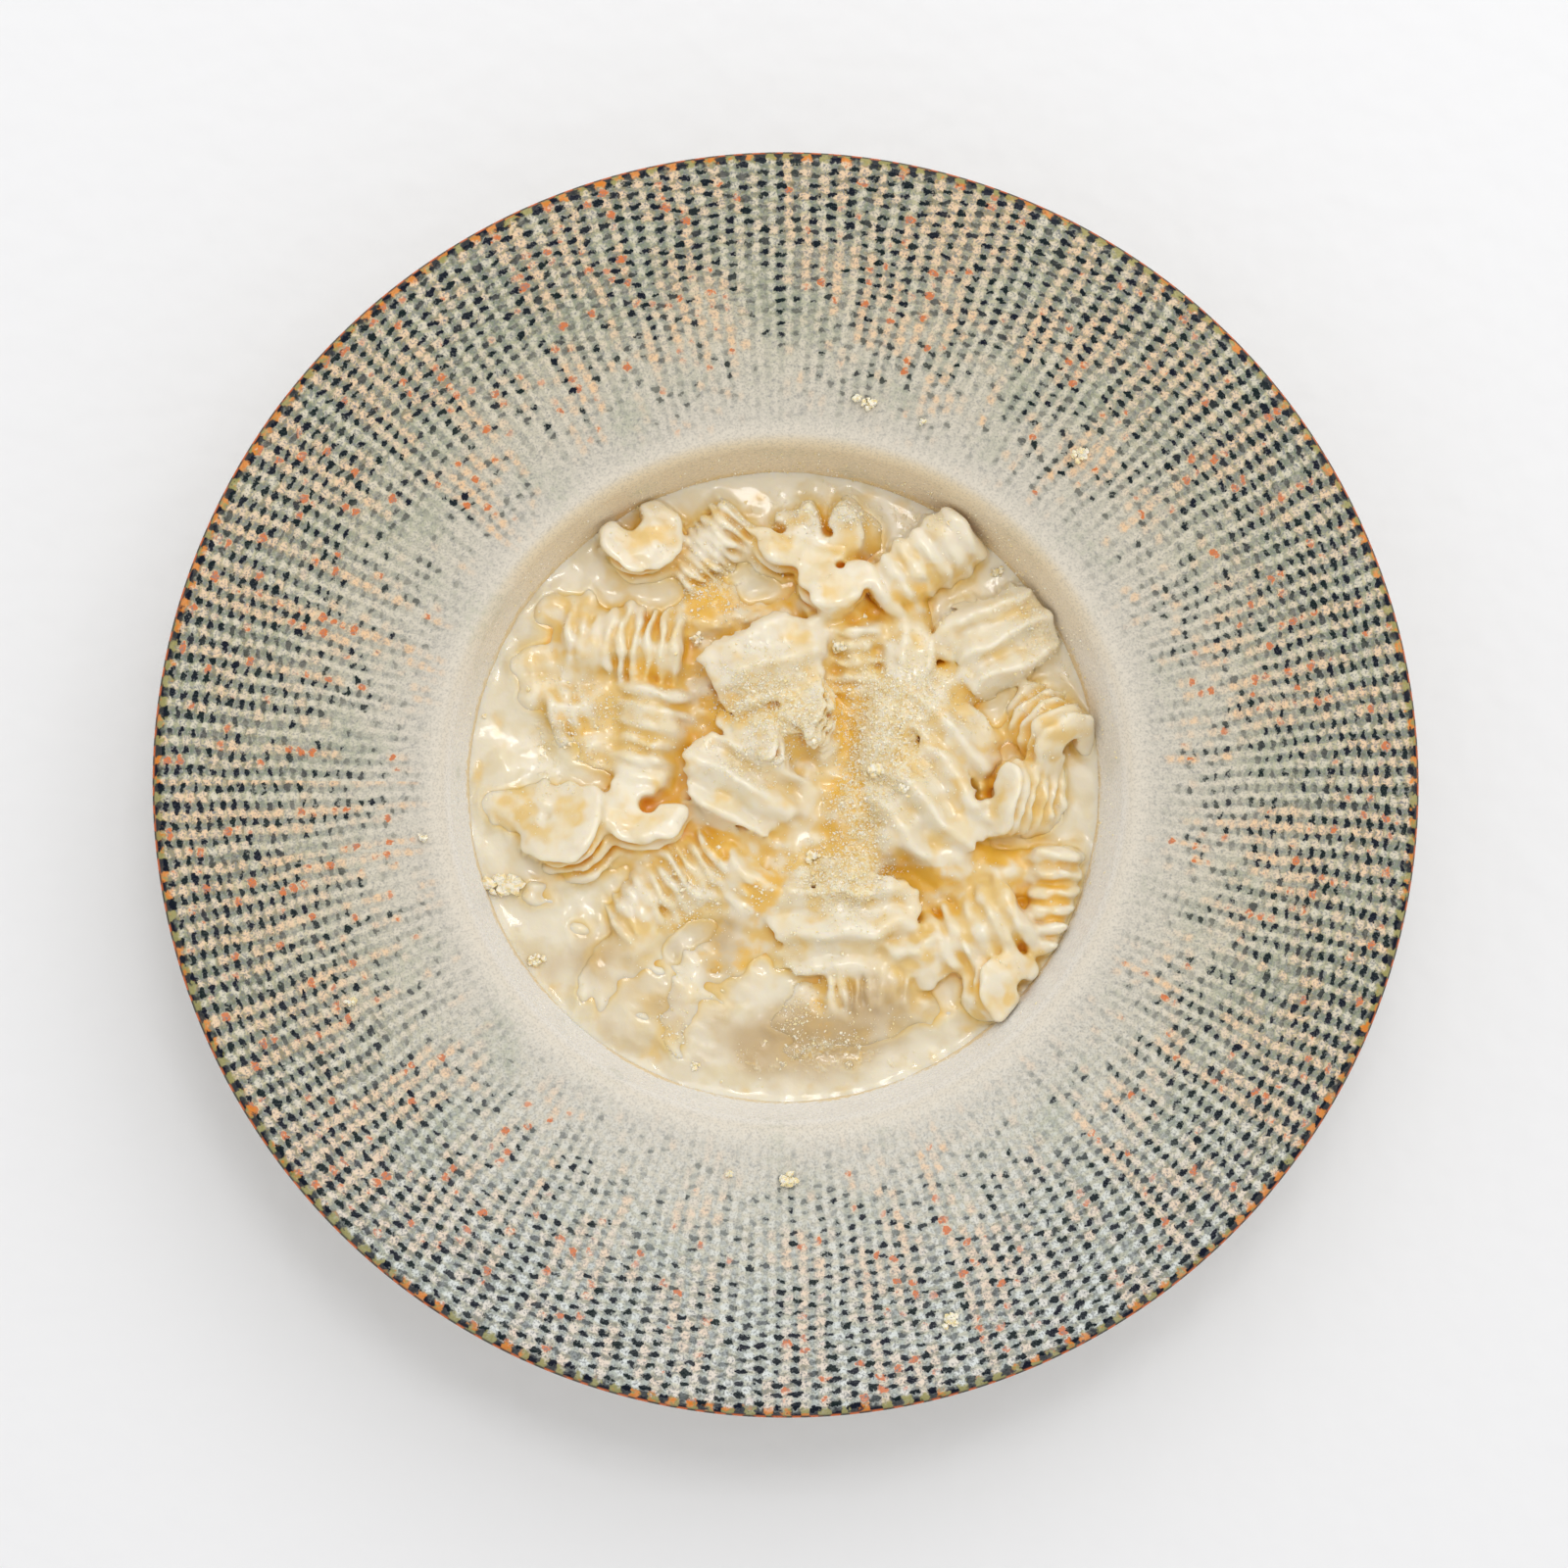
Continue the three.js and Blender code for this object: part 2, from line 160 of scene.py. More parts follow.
MOUNDS = list(starmap(Mound, [
    (22, 11, 34, 15, 10, 70),
    (27, 3, 32.4, 13, 10, 80),
    (26, 21, 31.6, 10, 9, 0),
    (24, -11, 32.6, 12, 8, -50),
    (15, -8, 32.5, 14, 10, 100),
    (13, -20, 34, 11, 10, 0),
    (4.5, -21.5, 31.5, 9, 8, 0),
    (-3, 12, 34.5, 14, 11, 20),
    (36, -16, 30.5, 14, 10, -40),
    (40, 24, 30, 16, 9, 20),
    (27, 34, 30.5, 12, 9, 90),
    (-17, 38, 28.5, 14, 10, 0),
    (18, 56, 27.5, 10, 9, 0),
    (-48, 34, 26.6, 13, 10, 70),
    (-57, 22, 26, 11, 8, 100),
    (-40, 8, 26.4, 12, 9, 0),
    (-62, 4, 25.4, 8, 7, 0),
    (-36, -36, 26.2, 20, 9, 30),
    (-54, -26, 25.6, 12, 7, -50),
    (-10, -36, 27.6, 14, 9, 30),
    (12, -52, 27.4, 17, 10, 0),
    (8, -62, 25.2, 24, 6, 0),
    (30, -50, 26.6, 12, 9, 0),
    (46, -20, 29, 14, 9, 0),
]))

# Grated cheese: the middle of each patch in the plan, its reach along X and Y, and how thickly it covers.
Patch = namedtuple("Patch", "x y reach_x reach_y cover")

CHEESE = list(starmap(Patch, [
    (-4.5, 20, 11, 7, 0.9),
    (2, 14, 8, 5, 0.7),
    (22.5, 10, 9, 13, 1),
    (16.5, -6, 6, 14, 0.8),
    (12.5, -21.5, 10, 7, 1),
    (-10, 5.5, 10, 5, 0.5),
    (-21, -24, 9, 7, 0.35),
    (8, -62, 26, 5, 0.5),
    (5, -49, 8, 10, 0.3),
    (-52, 8, 9, 9, 0.35),
    (12, 62, 30, 5, 0.45),
    (60, 38, 9, 18, 0.45),
    (-16, 44, 9, 6, 0.6),
    (28, 22, 14, 8, 0.5),
    (-24, -52, 10, 10, 0.2),
    (-38, 17, 12, 8, 0.25),
]))

# Golden patches: butter and cheese that melt into the cream, and in gaps where little light gets in,
# painted shade.
GOLD = list(starmap(Patch, [
    (-17, 42.5, 8, 6, 1),
    (-2, 41, 6, 5, 0.5),
    (14, 17, 5, 8, 1),
    (14, -6, 6, 12, 0.9),
    (-15.5, -13.5, 5, 4, 1),
    (-5, -24, 6, 5, 0.9),
    (29, -21, 9, 4, 0.9),
    (49, -14.5, 7, 4, 0.9),
    (30, 42, 8, 4, 0.8),
    (48, 21.5, 9, 3, 0.7),
    (-49.5, 14, 7, 4, 0.6),
    (-48, 21, 6, 3, 0.4),
    (-21, -32, 8, 4, 0.5),
    (-42, -32, 6, 3, 0.25),
    (-11, -39, 10, 8, 0.5),
    (5, -52, 12, 9, 0.4),
    (-33, 26, 7, 3, 0.6),
    (-53, -20.5, 7, 3, 0.5),
    (61, -26, 5, 13, 0.7),
    (-27, -21, 12, 7, 0.3),
    (-14, 17.5, 6, 5, 1),
]))

# Duller, darker patches, mostly by the near wall: sauce that lies thin, partly darkened as painted shade.
DULL_AND_SHADE = list(starmap(Patch, [
    (2, -58, 22, 9, 0.9),
    (-30, -52, 16, 10, 0.35),
    (20, -50, 14, 8, 0.6),
    (-42, -38, 18, 8, 0.4),
    (-14, -36, 10, 8, 0.5),
    (-46, 18, 10, 10, 0.2),
    (4, -2, 8, 10, 0.2),
]))

# Loose crumbs of cheese on the food and on the rim: the middle of each in the plan and its size.
Crumb = namedtuple("Crumb", "x y size")
FOOD_CRUMBS = list(starmap(Crumb, [
    (-63, -22.5, 5),
    (-55.9, -39.4, 2.6),
    (-20.7, -63, 2.2),
    (48.1, 48.7, 2.4),
    (-20, 33.5, 2.2),
    (12, 31, 2.4),
    (20, 3, 2.6),
    (26, -1, 2.2),
    (6, -16, 2.4),
]))
RIM_CRUMBS = list(starmap(Crumb, [
    (18.4, 84.3, 2.4),
    (15.6, 85.6, 1.8),
    (64.8, 73.1, 2.6),
    (-0.2, -88.2, 2.8),
    (35.6, -118.5, 2.6),
    (-96.1, -48.7, 2.2),
    (-81, -12.6, 1.8),
    (-13, -86.5, 1.6),
    (30, 80.5, 1.4),
]))

# How many grains of cheese are scattered, how many of them keep together in a knot, and how many stick
# to the wall. A grain is a ball of few sides.
GRAINS = 21000
KNOT_GRAINS = 12
WALL_GRAINS = 420
GRAIN_SIDES = 4
CRUMB_SIDES = 6

# ---- Fields: how far points are from a surface, in millimetres -----------


def smooth_min(a, b, width):
    """The lesser of two fields, with a fillet of about that width where they meet."""
    blend = np.maximum(width - np.abs(a - b), 0) / width
    return np.minimum(a, b) - blend * blend * width / 4


def smooth_max(a, b, width):
    return -smooth_min(-a, -b, width)


def waves(points, pitch, draw, count=4):
    """A slow random swell between about -1 and 1, as the sum of a few plane waves."""
    total = 0
    for _ in range(count):
        way = draw.normal(size=len(points))
        way *= draw.uniform(0.7, 1.4) * 2 * math.pi / (pitch * np.linalg.norm(way))
        phase = draw.uniform(0, 2 * math.pi)
        total = total + np.sin(sum(w * p for w, p in zip(way, points)) + phase)
    return total / math.sqrt(2 * count)


def soften(field, times):
    """Blurs a field along its three axes."""
    for _ in range(times):
        for axis in range(3):
            inner = [slice(None)] * 3
            before, after = list(inner), list(inner)
            inner[axis], before[axis], after[axis] = slice(1, -1), slice(0, -2), slice(2, None)
            beside = (field[tuple(before)] + field[tuple(after)]) / 4
            blurred = field.copy()
            blurred[tuple(inner)] = beside + field[tuple(inner)] / 2
            field = blurred
    return field


def drape(space, field, draw):
    """Fills grooves with a near blur of the field and gaps with a wide one, more in some places."""
    swell = waves(space.grid(), 24, draw, 6)
    near = soften(field, 6)
    wide = soften(near, 26)
    near = near + 0.25 + 0.3 * swell
    wide = wide + 0.85 + 0.45 * swell
    return smooth_min(smooth_min(field, near, 0.5), wide, 0.8)


def piece_turn(piece):
    """The rotation that faces a radiatore's opening and then leans its axis."""
    toward = math.radians(piece.toward)
    hinge = Vector((-math.sin(toward), math.cos(toward), 0))
    leaning = Matrix.Rotation(math.radians(piece.lean), 3, hinge)
    return leaning @ Matrix.Rotation(math.radians(piece.open), 3, "Z")


def fin_edge(piece, from_back):
    """How far from the curl's centre the edge of the fins is, at an angle from the middle of its back."""
    across = piece.shift * np.sin(from_back)
    return piece.shift * np.cos(from_back) + np.sqrt(piece.outer**2 - across**2)


def radiatore_field(piece, x, y, z, draw):
    """The field of one radiatore in its own frame: curled about +Z, open towards +X."""
    curl = math.radians(piece.curl) / 2
    strip_edge = piece.inner + STRIP_THICKNESS
    middle = strip_edge * math.sin(curl) / curl
    bent = [x - middle, y, z]
    x, y, z = (axis + 0.5 * waves(bent, 16, draw) for axis in bent)
    radius = np.hypot(x, y)
    from_back = np.arctan2(-y, -x)
    half = (piece.fins - 1) * piece.pitch / 2
    edge = fin_edge(piece, from_back)
    share = np.clip((radius - strip_edge) / np.maximum(edge - strip_edge, 0.5), 0, 1)
    along = z - RUFFLE * share * np.sin(RUFFLE_WAVES * from_back + z)
    fin = np.clip(np.rint((along + half) / piece.pitch), 0, piece.fins - 1).astype(int)
    ragged = draw.uniform(-0.8, 0.8, (2, piece.fins))
    height = draw.uniform(0.95, 1.03, piece.fins)
    half_thickness = piece.pitch * (FIN_ROOT + share * (FIN_TIP - FIN_ROOT)) / 2
    scallop = 0.25 * np.sin(9 * from_back + 2.1 * fin)
    beside = np.abs(along + half - fin * piece.pitch) - half_thickness
    fins = smooth_max(beside, radius - edge * height[fin] + scallop, 1.5)
    fins = np.maximum(fins, piece.inner - radius)
    cream = np.clip(piece.coat + 0.3 * waves([x, y, z], 11, draw), 0, 1.05)
    filled = strip_edge + cream * (edge - strip_edge)
    strip_end = np.abs(along) - half - piece.pitch * FIN_ROOT / 2
    strip = np.maximum(smooth_max(radius - filled, strip_end, 1.5), piece.inner - radius)
    past_end = radius * (np.abs(from_back) - curl)
    past_end = past_end + np.where(from_back > 0, ragged[0][fin], ragged[1][fin])
    fins = smooth_max(fins, past_end, 1.4)
    strip = smooth_max(strip, past_end + 0.6, 1.2)
    return smooth_min(fins, strip, 1.2)


def teeth(along, draw, pitch=3.1):
    """A scalloped edge, from 0 at its points to 1 at its hollows."""
    wander = 0.5 * np.sin(along / 3.7 + draw.uniform(0, 6)) + 0.4 * np.sin(along / 1.9 + draw.uniform(0, 6))
    swell = 0.6 + 0.4 * np.sin(along / 5.3 + draw.uniform(0, 6))
    return np.abs(np.sin(math.pi * along / pitch + wander + draw.uniform(0, 3))) * swell


def sheet_field(sheet, x, y, z, draw):
    """The field of one sheet in its own frame: its folds run along X, its top faces +Z."""
    bent = [x, y, z]
    x, y, z = (axis + reach * waves(bent, 14, draw) for axis, reach in zip(bent, (1.0, 1.0, 0.6)))
    half_x, half_y = sheet.length / 2, sheet.width / 2
    phase = 2 * math.pi * y / sheet.pitch + draw.uniform(-0.5, 0.5) + 0.25 * np.sin(x / 4)
    crest = (0.5 + 0.5 * np.cos(phase)) ** 1.4
    fade = np.clip(1.5 - np.abs(x) / half_x, 0.3, 1)
    middle = sheet.fold * (crest - 0.4) * fade - sheet.fall * ((x / half_x) ** 2 * 0.5 + (y / half_y) ** 4)
    middle = middle + 0.35 * waves([x, y], 5, draw, 5)
    slab = np.abs(z - middle) * 0.8 - SHEET_THICKNESS / 2
    reach = ((np.abs(x) / half_x) ** 3 + (np.abs(y) / half_y) ** 3) ** (1 / 3)
    outline = (reach - 1) * half_y + 1.3 * waves([x, y], 12, draw, 5)
    round_edge = np.arctan2(y, x) * (half_x + half_y) / 2
    outline = outline + sheet.teeth * teeth(round_edge, draw)
    return smooth_max(slab, outline * 0.85, 1.2)


class Space:
    """A block of space cut into voxels, and the fields in it."""

    def __init__(self, low, high, step):
        self.low = np.array(low)
        self.step = step
        self.axes = [np.arange(l, h + step / 2, step, dtype=np.float32) for l, h in zip(low, high)]
        self.shape = tuple(len(axis) for axis in self.axes)

    def grid(self):
        return np.meshgrid(*self.axes, indexing="ij", sparse=True)

    def block(self, centre, reach):
        """The slices round a centre, and the coordinates of their voxels."""
        slices = []
        for axis, middle in zip(self.axes, centre):
            first, last = np.searchsorted(axis, (middle - reach, middle + reach))
            slices.append(slice(int(first), int(last)))
        near = [axis[part] for axis, part in zip(self.axes, slices)]
        return tuple(slices), np.meshgrid(*near, indexing="ij")

    def sample(self, field, points):
        """The nearest voxel's value at each point."""
        index = np.rint((points - self.low) / self.step).astype(int)
        index = np.clip(index, 0, np.array(self.shape) - 1)
        return field[tuple(index.T)]

    def blend(self, field, *places):
        """The value of a field, or of a map of the plan, at places blended from the voxels round each."""
        steps, shares = [], []
        for place, low, count in zip(places, self.low, self.shape):
            step = np.clip((place - low) / self.step, 0, count - 1.001)
            steps.append(step.astype(int))
            shares.append(step - steps[-1])
        total = 0
        for corner in np.ndindex(*[2] * len(places)):
            weight = math.prod(share if beyond else 1 - share for share, beyond in zip(shares, corner))
            total = total + weight * field[tuple(step + beyond for step, beyond in zip(steps, corner))]
        return total

    def mesh(self, field):
        """The surface where a field is zero, as vertices in millimetres and faces of four corners."""
        grid = openvdb.FloatGrid(FAR)
        grid.copyFromArray(np.clip(field, -FAR, FAR).astype(np.float32))
        points, quads = grid.convertToQuads(isovalue=0.0)
        return points * self.step + self.low, quads

    def heights(self, field):
        """The height of the top of the surface in each column of voxels, or the bottom of the block."""
        downward = field[:, :, ::-1]
        first = np.maximum(np.argmax(downward < 0, axis=2), 1)[:, :, None]
        inside = np.take_along_axis(downward, first, 2)[:, :, 0]
        outside = np.take_along_axis(downward, first - 1, 2)[:, :, 0]
        share = np.clip(outside / np.maximum(outside - inside, 1e-6), 0, 1)
        top = self.axes[2][-1] - (first[:, :, 0] - 1 + share) * self.step
        return np.where((field < 0).any(axis=2), top, self.axes[2][0])


def well_wall(height):
    """The radius of the inside of the well at a height above its fillet."""
    return WALL_TOP_R - (WALL_TOP_Z - height) * math.tan(WALL_LEAN)


def add_piece(space, field, piece, turn, reach, shape, draw, fillet):
    """Joins one piece to a field, its shape worked out in its own frame."""
    slices, (x, y, z) = space.block((piece.x, piece.y, piece.z), reach)
    turn = np.array(turn)
    offset = [x - piece.x, y - piece.y, z - piece.z]
    local = [sum(turn[row, column] * offset[row] for row in range(3)) for column in range(3)]
    near = np.minimum(shape(piece, *local, draw), FAR)
    field[slices] = smooth_min(field[slices], near, fillet)


def add_radiatori(space, field, pieces, draw, fillet):
    for piece in pieces:
        length = (piece.fins - 1) * piece.pitch / 2 + piece.pitch
        reach = math.hypot(length, piece.outer + piece.shift) + 4
        add_piece(space, field, piece, piece_turn(piece), reach, radiatore_field, draw, fillet)


def add_sheets(space, field, draw, fillet):
    for sheet in SHEETS:
        turn = Matrix.Rotation(math.radians(sheet.along), 3, "Z")
        turn = turn @ Matrix.Rotation(math.radians(sheet.dip), 3, "Y")
        turn = turn @ Matrix.Rotation(math.radians(sheet.roll), 3, "X")
        reach = math.hypot(sheet.length, sheet.width) / 2 + 4
        add_piece(space, field, sheet, turn, reach, sheet_field, draw, fillet)


def inside_well(space, field):
    """Keeps a field clear of the bowl's wall and of the bottom of the block."""
    x, y, z = space.grid()
    wall = (np.hypot(x, y) - well_wall(z) + GAP) * math.cos(WALL_LEAN)
    return np.maximum(smooth_max(field, wall, 2.0), space.low[2] + 2 * space.step - z)


def cover(patches, x, y):
    """How thickly patches cover each place in the plan, between 0 and 1."""
    bare = 1
    for patch in patches:
        away = ((x - patch.x) / patch.reach_x) ** 2 + ((y - patch.y) / patch.reach_y) ** 2
        bare = bare * (1 - patch.cover * np.exp(-(away**1.3)))
    return 1 - bare


def mound_height(mound, x, y):
    """How high a mound is at each place in the plan; it sinks below the sauce at its edge."""
    turn = math.radians(mound.turn)
    along = ((x - mound.x) * math.cos(turn) + (y - mound.y) * math.sin(turn)) / mound.along
    across = ((y - mound.y) * math.cos(turn) - (x - mound.x) * math.sin(turn)) / mound.across
    return mound.top - (mound.top - SAUCE_LEVEL + 3) * np.minimum(along**2 + across**2, 3)


def core_field(space, draw):
    """The lumpy dome of pasta and cream under the pieces that show."""
    x, y, z = space.grid()
    reach = np.hypot(x - CORE_X, y - CORE_Y) / CORE_RADIUS
    edge = SAUCE_LEVEL - 1.5
    top = edge + (CORE_TOP - edge) * (1 - np.clip(reach, 0, 1.2) ** 2)
    for mound in MOUNDS:
        top = smooth_max(top, mound_height(mound, x, y), 2.5)
    top = top + 1.2 * waves([x, y], 15, draw, 6) + 0.55 * waves([x, y], 6, draw, 6)
    return np.clip((z - top) * 0.9, -FAR, FAR).astype(np.float32)


# ---- Meshes --------------------------------------------------------------


def make_mesh(name, points, faces):
    """A smooth mesh object from points in millimetres."""
    mesh = bpy.data.meshes.new(name)
    mesh.from_pydata((np.asarray(points) * MM).tolist(), [], np.asarray(faces).tolist())
    mesh.shade_smooth()
    piece = bpy.data.objects.new(name, mesh)
    bpy.context.scene.collection.objects.link(piece)
    return piece


def grid_faces(rings, sides):
    """Faces of four corners between rings of points that close on themselves."""
    ring, side = np.meshgrid(np.arange(rings - 1), np.arange(sides), indexing="ij")
    a = ring * sides + side
    b = ring * sides + (side + 1) % sides
    return np.stack([a, b, b + sides, a + sides], axis=-1).reshape(-1, 4)


def set_attribute(piece, name, values):
    attribute = piece.data.attributes.new(name, "FLOAT", "POINT")
    attribute.data.foreach_set("value", np.asarray(values, np.float32))


def normals_of(piece):
    flat = np.zeros(len(piece.data.vertices) * 3, np.float32)
    piece.data.vertices.foreach_get("normal", flat)
    return flat.reshape(-1, 3)


def sky_ways(count):
    """Directions spread over the upper half of the sky, closer together overhead."""
    turn = math.pi * (3 - math.sqrt(5))
    ways = []
    for i in range(count):
        across = math.sqrt((i + 0.5) / count)
        ways.append((across * math.cos(i * turn), across * math.sin(i * turn), math.sqrt(1 - across**2)))
    return ways


def openness(space, filled, points, normals):
    """The share of the sky that each point sees past what is filled."""
    start = points + normals * 0.8
    seen = np.zeros(len(points), np.float32)
    ways = sky_ways(28)
    for way in ways:
        free = np.ones(len(points), bool)
        for distance in (0.6, 1.3, 2.2, 3.4, 5.0, 7.0, 10.0):
            free &= ~space.sample(filled, start + np.array(way) * distance)
        seen += free
    return seen / len(ways)


def set_food_attributes(piece, space, heap, points):
    """How open to the sky, hollow, golden, deep in cheese and dull each point is."""
    shares = openness(space, heap < 0, points, normals_of(piece))
    set_attribute(piece, "open", spread_over(piece, shares, 10))
    above_sauce = space.grid()[2] - SAUCE_LEVEL
    solid = np.clip(np.minimum(heap, above_sauce), -FAR, FAR)
    crest = space.blend(soften(solid, 12), *points.T)
    set_attribute(piece, "crest", np.where(points[:, 2] < SAUCE_LEVEL - 1, 0, spread_over(piece, crest, 2)))
    for name, patches in (("gold", GOLD), ("cheese", CHEESE), ("dull", DULL_AND_SHADE)):
        set_attribute(piece, name, cover(patches, points[:, 0], points[:, 1]))


def spread_over(piece, values, times):
    """Averages a value at each vertex with those along its edges."""
    edges = np.zeros(len(piece.data.edges) * 2, np.int32)
    piece.data.edges.foreach_get("vertices", edges)
    a, b = edges.reshape(-1, 2).T
    count = len(values)
    neighbours = np.bincount(a, minlength=count) + np.bincount(b, minlength=count)
    for _ in range(times):
        total = np.bincount(a, values[b], count) + np.bincount(b, values[a], count)
        values = (values + total / np.maximum(neighbours, 1)) / 2
    return values


# ---- Materials -----------------------------------------------------------


def colour(red, green, blue):
    """A colour given as the 0 to 255 values that a screen shows."""
    shares = [value / 255 for value in (red, green, blue)]
    linear = [s / 12.92 if s <= 0.04045 else ((s + 0.055) / 1.055) ** 2.4 for s in shares]
    return (*linear, 1.0)


def math_method(operation):
    """A method that joins a value with what follows it in a Math node."""
    return lambda value, *others: value.graph.math(operation, value, *others)


class Value:
    """A number that varies over a surface, with the usual operators."""

    __add__ = __radd__ = math_method("ADD")
    __sub__ = math_method("SUBTRACT")
    __mul__ = math_method("MULTIPLY")
    __truediv__ = math_method("DIVIDE")
    __mod__ = math_method("FLOORED_MODULO")
    __abs__ = math_method("ABSOLUTE")
    floor = math_method("FLOOR")

    def __init__(self, graph, socket):
        self.graph = graph
        self.socket = socket

    def __rsub__(self, other):
        return self.graph.math("SUBTRACT", other, self)

    def step(self, start, end):
        """Rises smoothly from 0 at the start to 1 at the end."""
        node = self.graph.node("MapRange", {"Value": self, "From Min": start, "From Max": end})
        node.interpolation_type = "SMOOTHSTEP"
        return Value(self.graph, node.outputs["Result"])


class Graph:
    """A node material, built by expressions."""

    def __init__(self, name):
        self.material = bpy.data.materials.new(name)
        self.material.use_nodes = True
        self.nodes = self.material.node_tree.nodes
        self.surface = self.nodes["Principled BSDF"]

    def put(self, value, socket):
        if isinstance(value, Value):
            value = value.socket
        if isinstance(value, bpy.types.NodeSocket):
            self.material.node_tree.links.new(value, socket)
        else:
            socket.default_value = value

    def node(self, kind, inputs=None, **settings):
        """Adds a node, with its settings and what goes into its inputs."""
        node = self.nodes.new("ShaderNode" + kind)
        for name, value in settings.items():
            setattr(node, name, value)
        for key, value in (inputs or {}).items():
            self.put(value, node.inputs[key])
        return node

    def math(self, operation, *values):
        return Value(self, self.node("Math", dict(enumerate(values)), operation=operation).outputs[0])

    def mix(self, share, a, b):
        """One colour passing into another."""
        return self.node("Mix", {0: share, 6: a, 7: b}, data_type="RGBA").outputs[2]

    def place(self):
        """Where the surface is, in millimetres."""
        where = self.node("TexCoord").outputs["Object"]
        return self.node("VectorMath", {0: where, 3: 1 / MM}, operation="SCALE").outputs[0]

    def split(self, vector):
        return [Value(self, socket) for socket in self.node("SeparateXYZ", {0: vector}).outputs]

    def clouds(self, place, pitch, detail):
        return self.node("TexNoise", {"Vector": place, "Scale": 1 / pitch, "Detail": detail})

    def noise(self, place, pitch, detail=2.0):
        """Cloudy noise between 0 and 1, with features of about that pitch."""
        return Value(self, self.clouds(place, pitch, detail).outputs[0])

    def noises(self, place, pitch, detail=2.0):
        """Three cloudy noises at once."""
        return self.split(self.clouds(place, pitch, detail).outputs["Color"])

    def chances(self, *cell):
        """Three random numbers between 0 and 1 for each cell."""
        where = self.node("CombineXYZ", dict(enumerate(cell))).outputs[0]
        return self.split(self.node("TexWhiteNoise", {"Vector": where}).outputs["Color"])

    def attribute(self, name):
        return Value(self, self.node("Attribute", attribute_name=name).outputs["Fac"])

    def ramp(self, value, stops):
        """A colour for each value, passing through the stops."""
        node = self.node("ValToRGB", {0: value})
        elements = node.color_ramp.elements
        while len(elements) < len(stops):
            elements.new(0.5)
        for element, (position, stop) in zip(elements, stops):
            element.position = position
            element.color = stop
        return node.outputs[0]

    def finish(self, base, roughness, height, relief, **fixed):
        """Feeds the shader: colour, roughness, bump height in millimetres and settings that don't vary."""
        self.put(base, self.surface.inputs["Base Color"])
        self.put(roughness, self.surface.inputs["Roughness"])
        bump = self.node("Bump", {"Height": height, "Distance": relief * MM, "Strength": 1.0})
        self.put(bump.outputs[0], self.surface.inputs["Normal"])
        for name, value in fixed.items():
            self.surface.inputs[name.replace("_", " ")].default_value = value
        return self.material


# The glaze's colours, from the well out to the lip and round to the underside.
WELL_CREAM = colour(238, 236, 232)
SHOULDER_CREAM = colour(222, 213, 198)
# Painted shade with some cream residue: the darker, warmer tint of the far side of the wall and shoulder.
FAR_WALL_SHADE_AND_RESIDUE = colour(230, 205, 158)
CREAM_SPECKLE = colour(207, 200, 188)
OUTER_CREAM = colour(200, 190, 154)
STITCH_CREAM = colour(226, 217, 200)
# A painted bluish reflection of the glaze, laid over the near side of the rim.
STITCH_SHEEN = colour(218, 224, 224)
SAGE = colour(144, 156, 126)
STAIN = colour(76, 100, 88)
PEACH = colour(236, 190, 138)
RUST = colour(204, 96, 14)
THREAD = colour(92, 92, 74)
FLECK = colour(124, 126, 126)
NAVY = colour(2, 8, 30)
TEAL = colour(4, 26, 24)
LIP_MOSS = colour(150, 144, 82)
LIP_AMBER = colour(216, 128, 36)
# Painted shade on the down-turned side of the lip, between its rust cells.
EDGE_SHADE = colour(20, 13, 9)
EDGE_RUST = colour(214, 100, 14)
UNDERSIDE = colour(206, 198, 182)
SAUCE_FILM = colour(226, 200, 148)

# The band of radii over which each part of the glaze comes in.
WEAVE_BAND = (64, 143)
DASHES_BAND = (77, 92)
WARM_BAND = (77, 90)
FLECKS_BAND = (74, 86)
SHOULDER_BAND = (83, 77)
FAR_SHADE_BAND = (78.5, 75.5)
WELL_BAND = (77, 74.5)
FILM_BAND = (78, 74)
LIP_BAND = (RIM_RADIUS - 2.8, RIM_RADIUS - 1.6)
EDGE_BAND = (RIM_RADIUS - 1.6, RIM_RADIUS - 1.0)


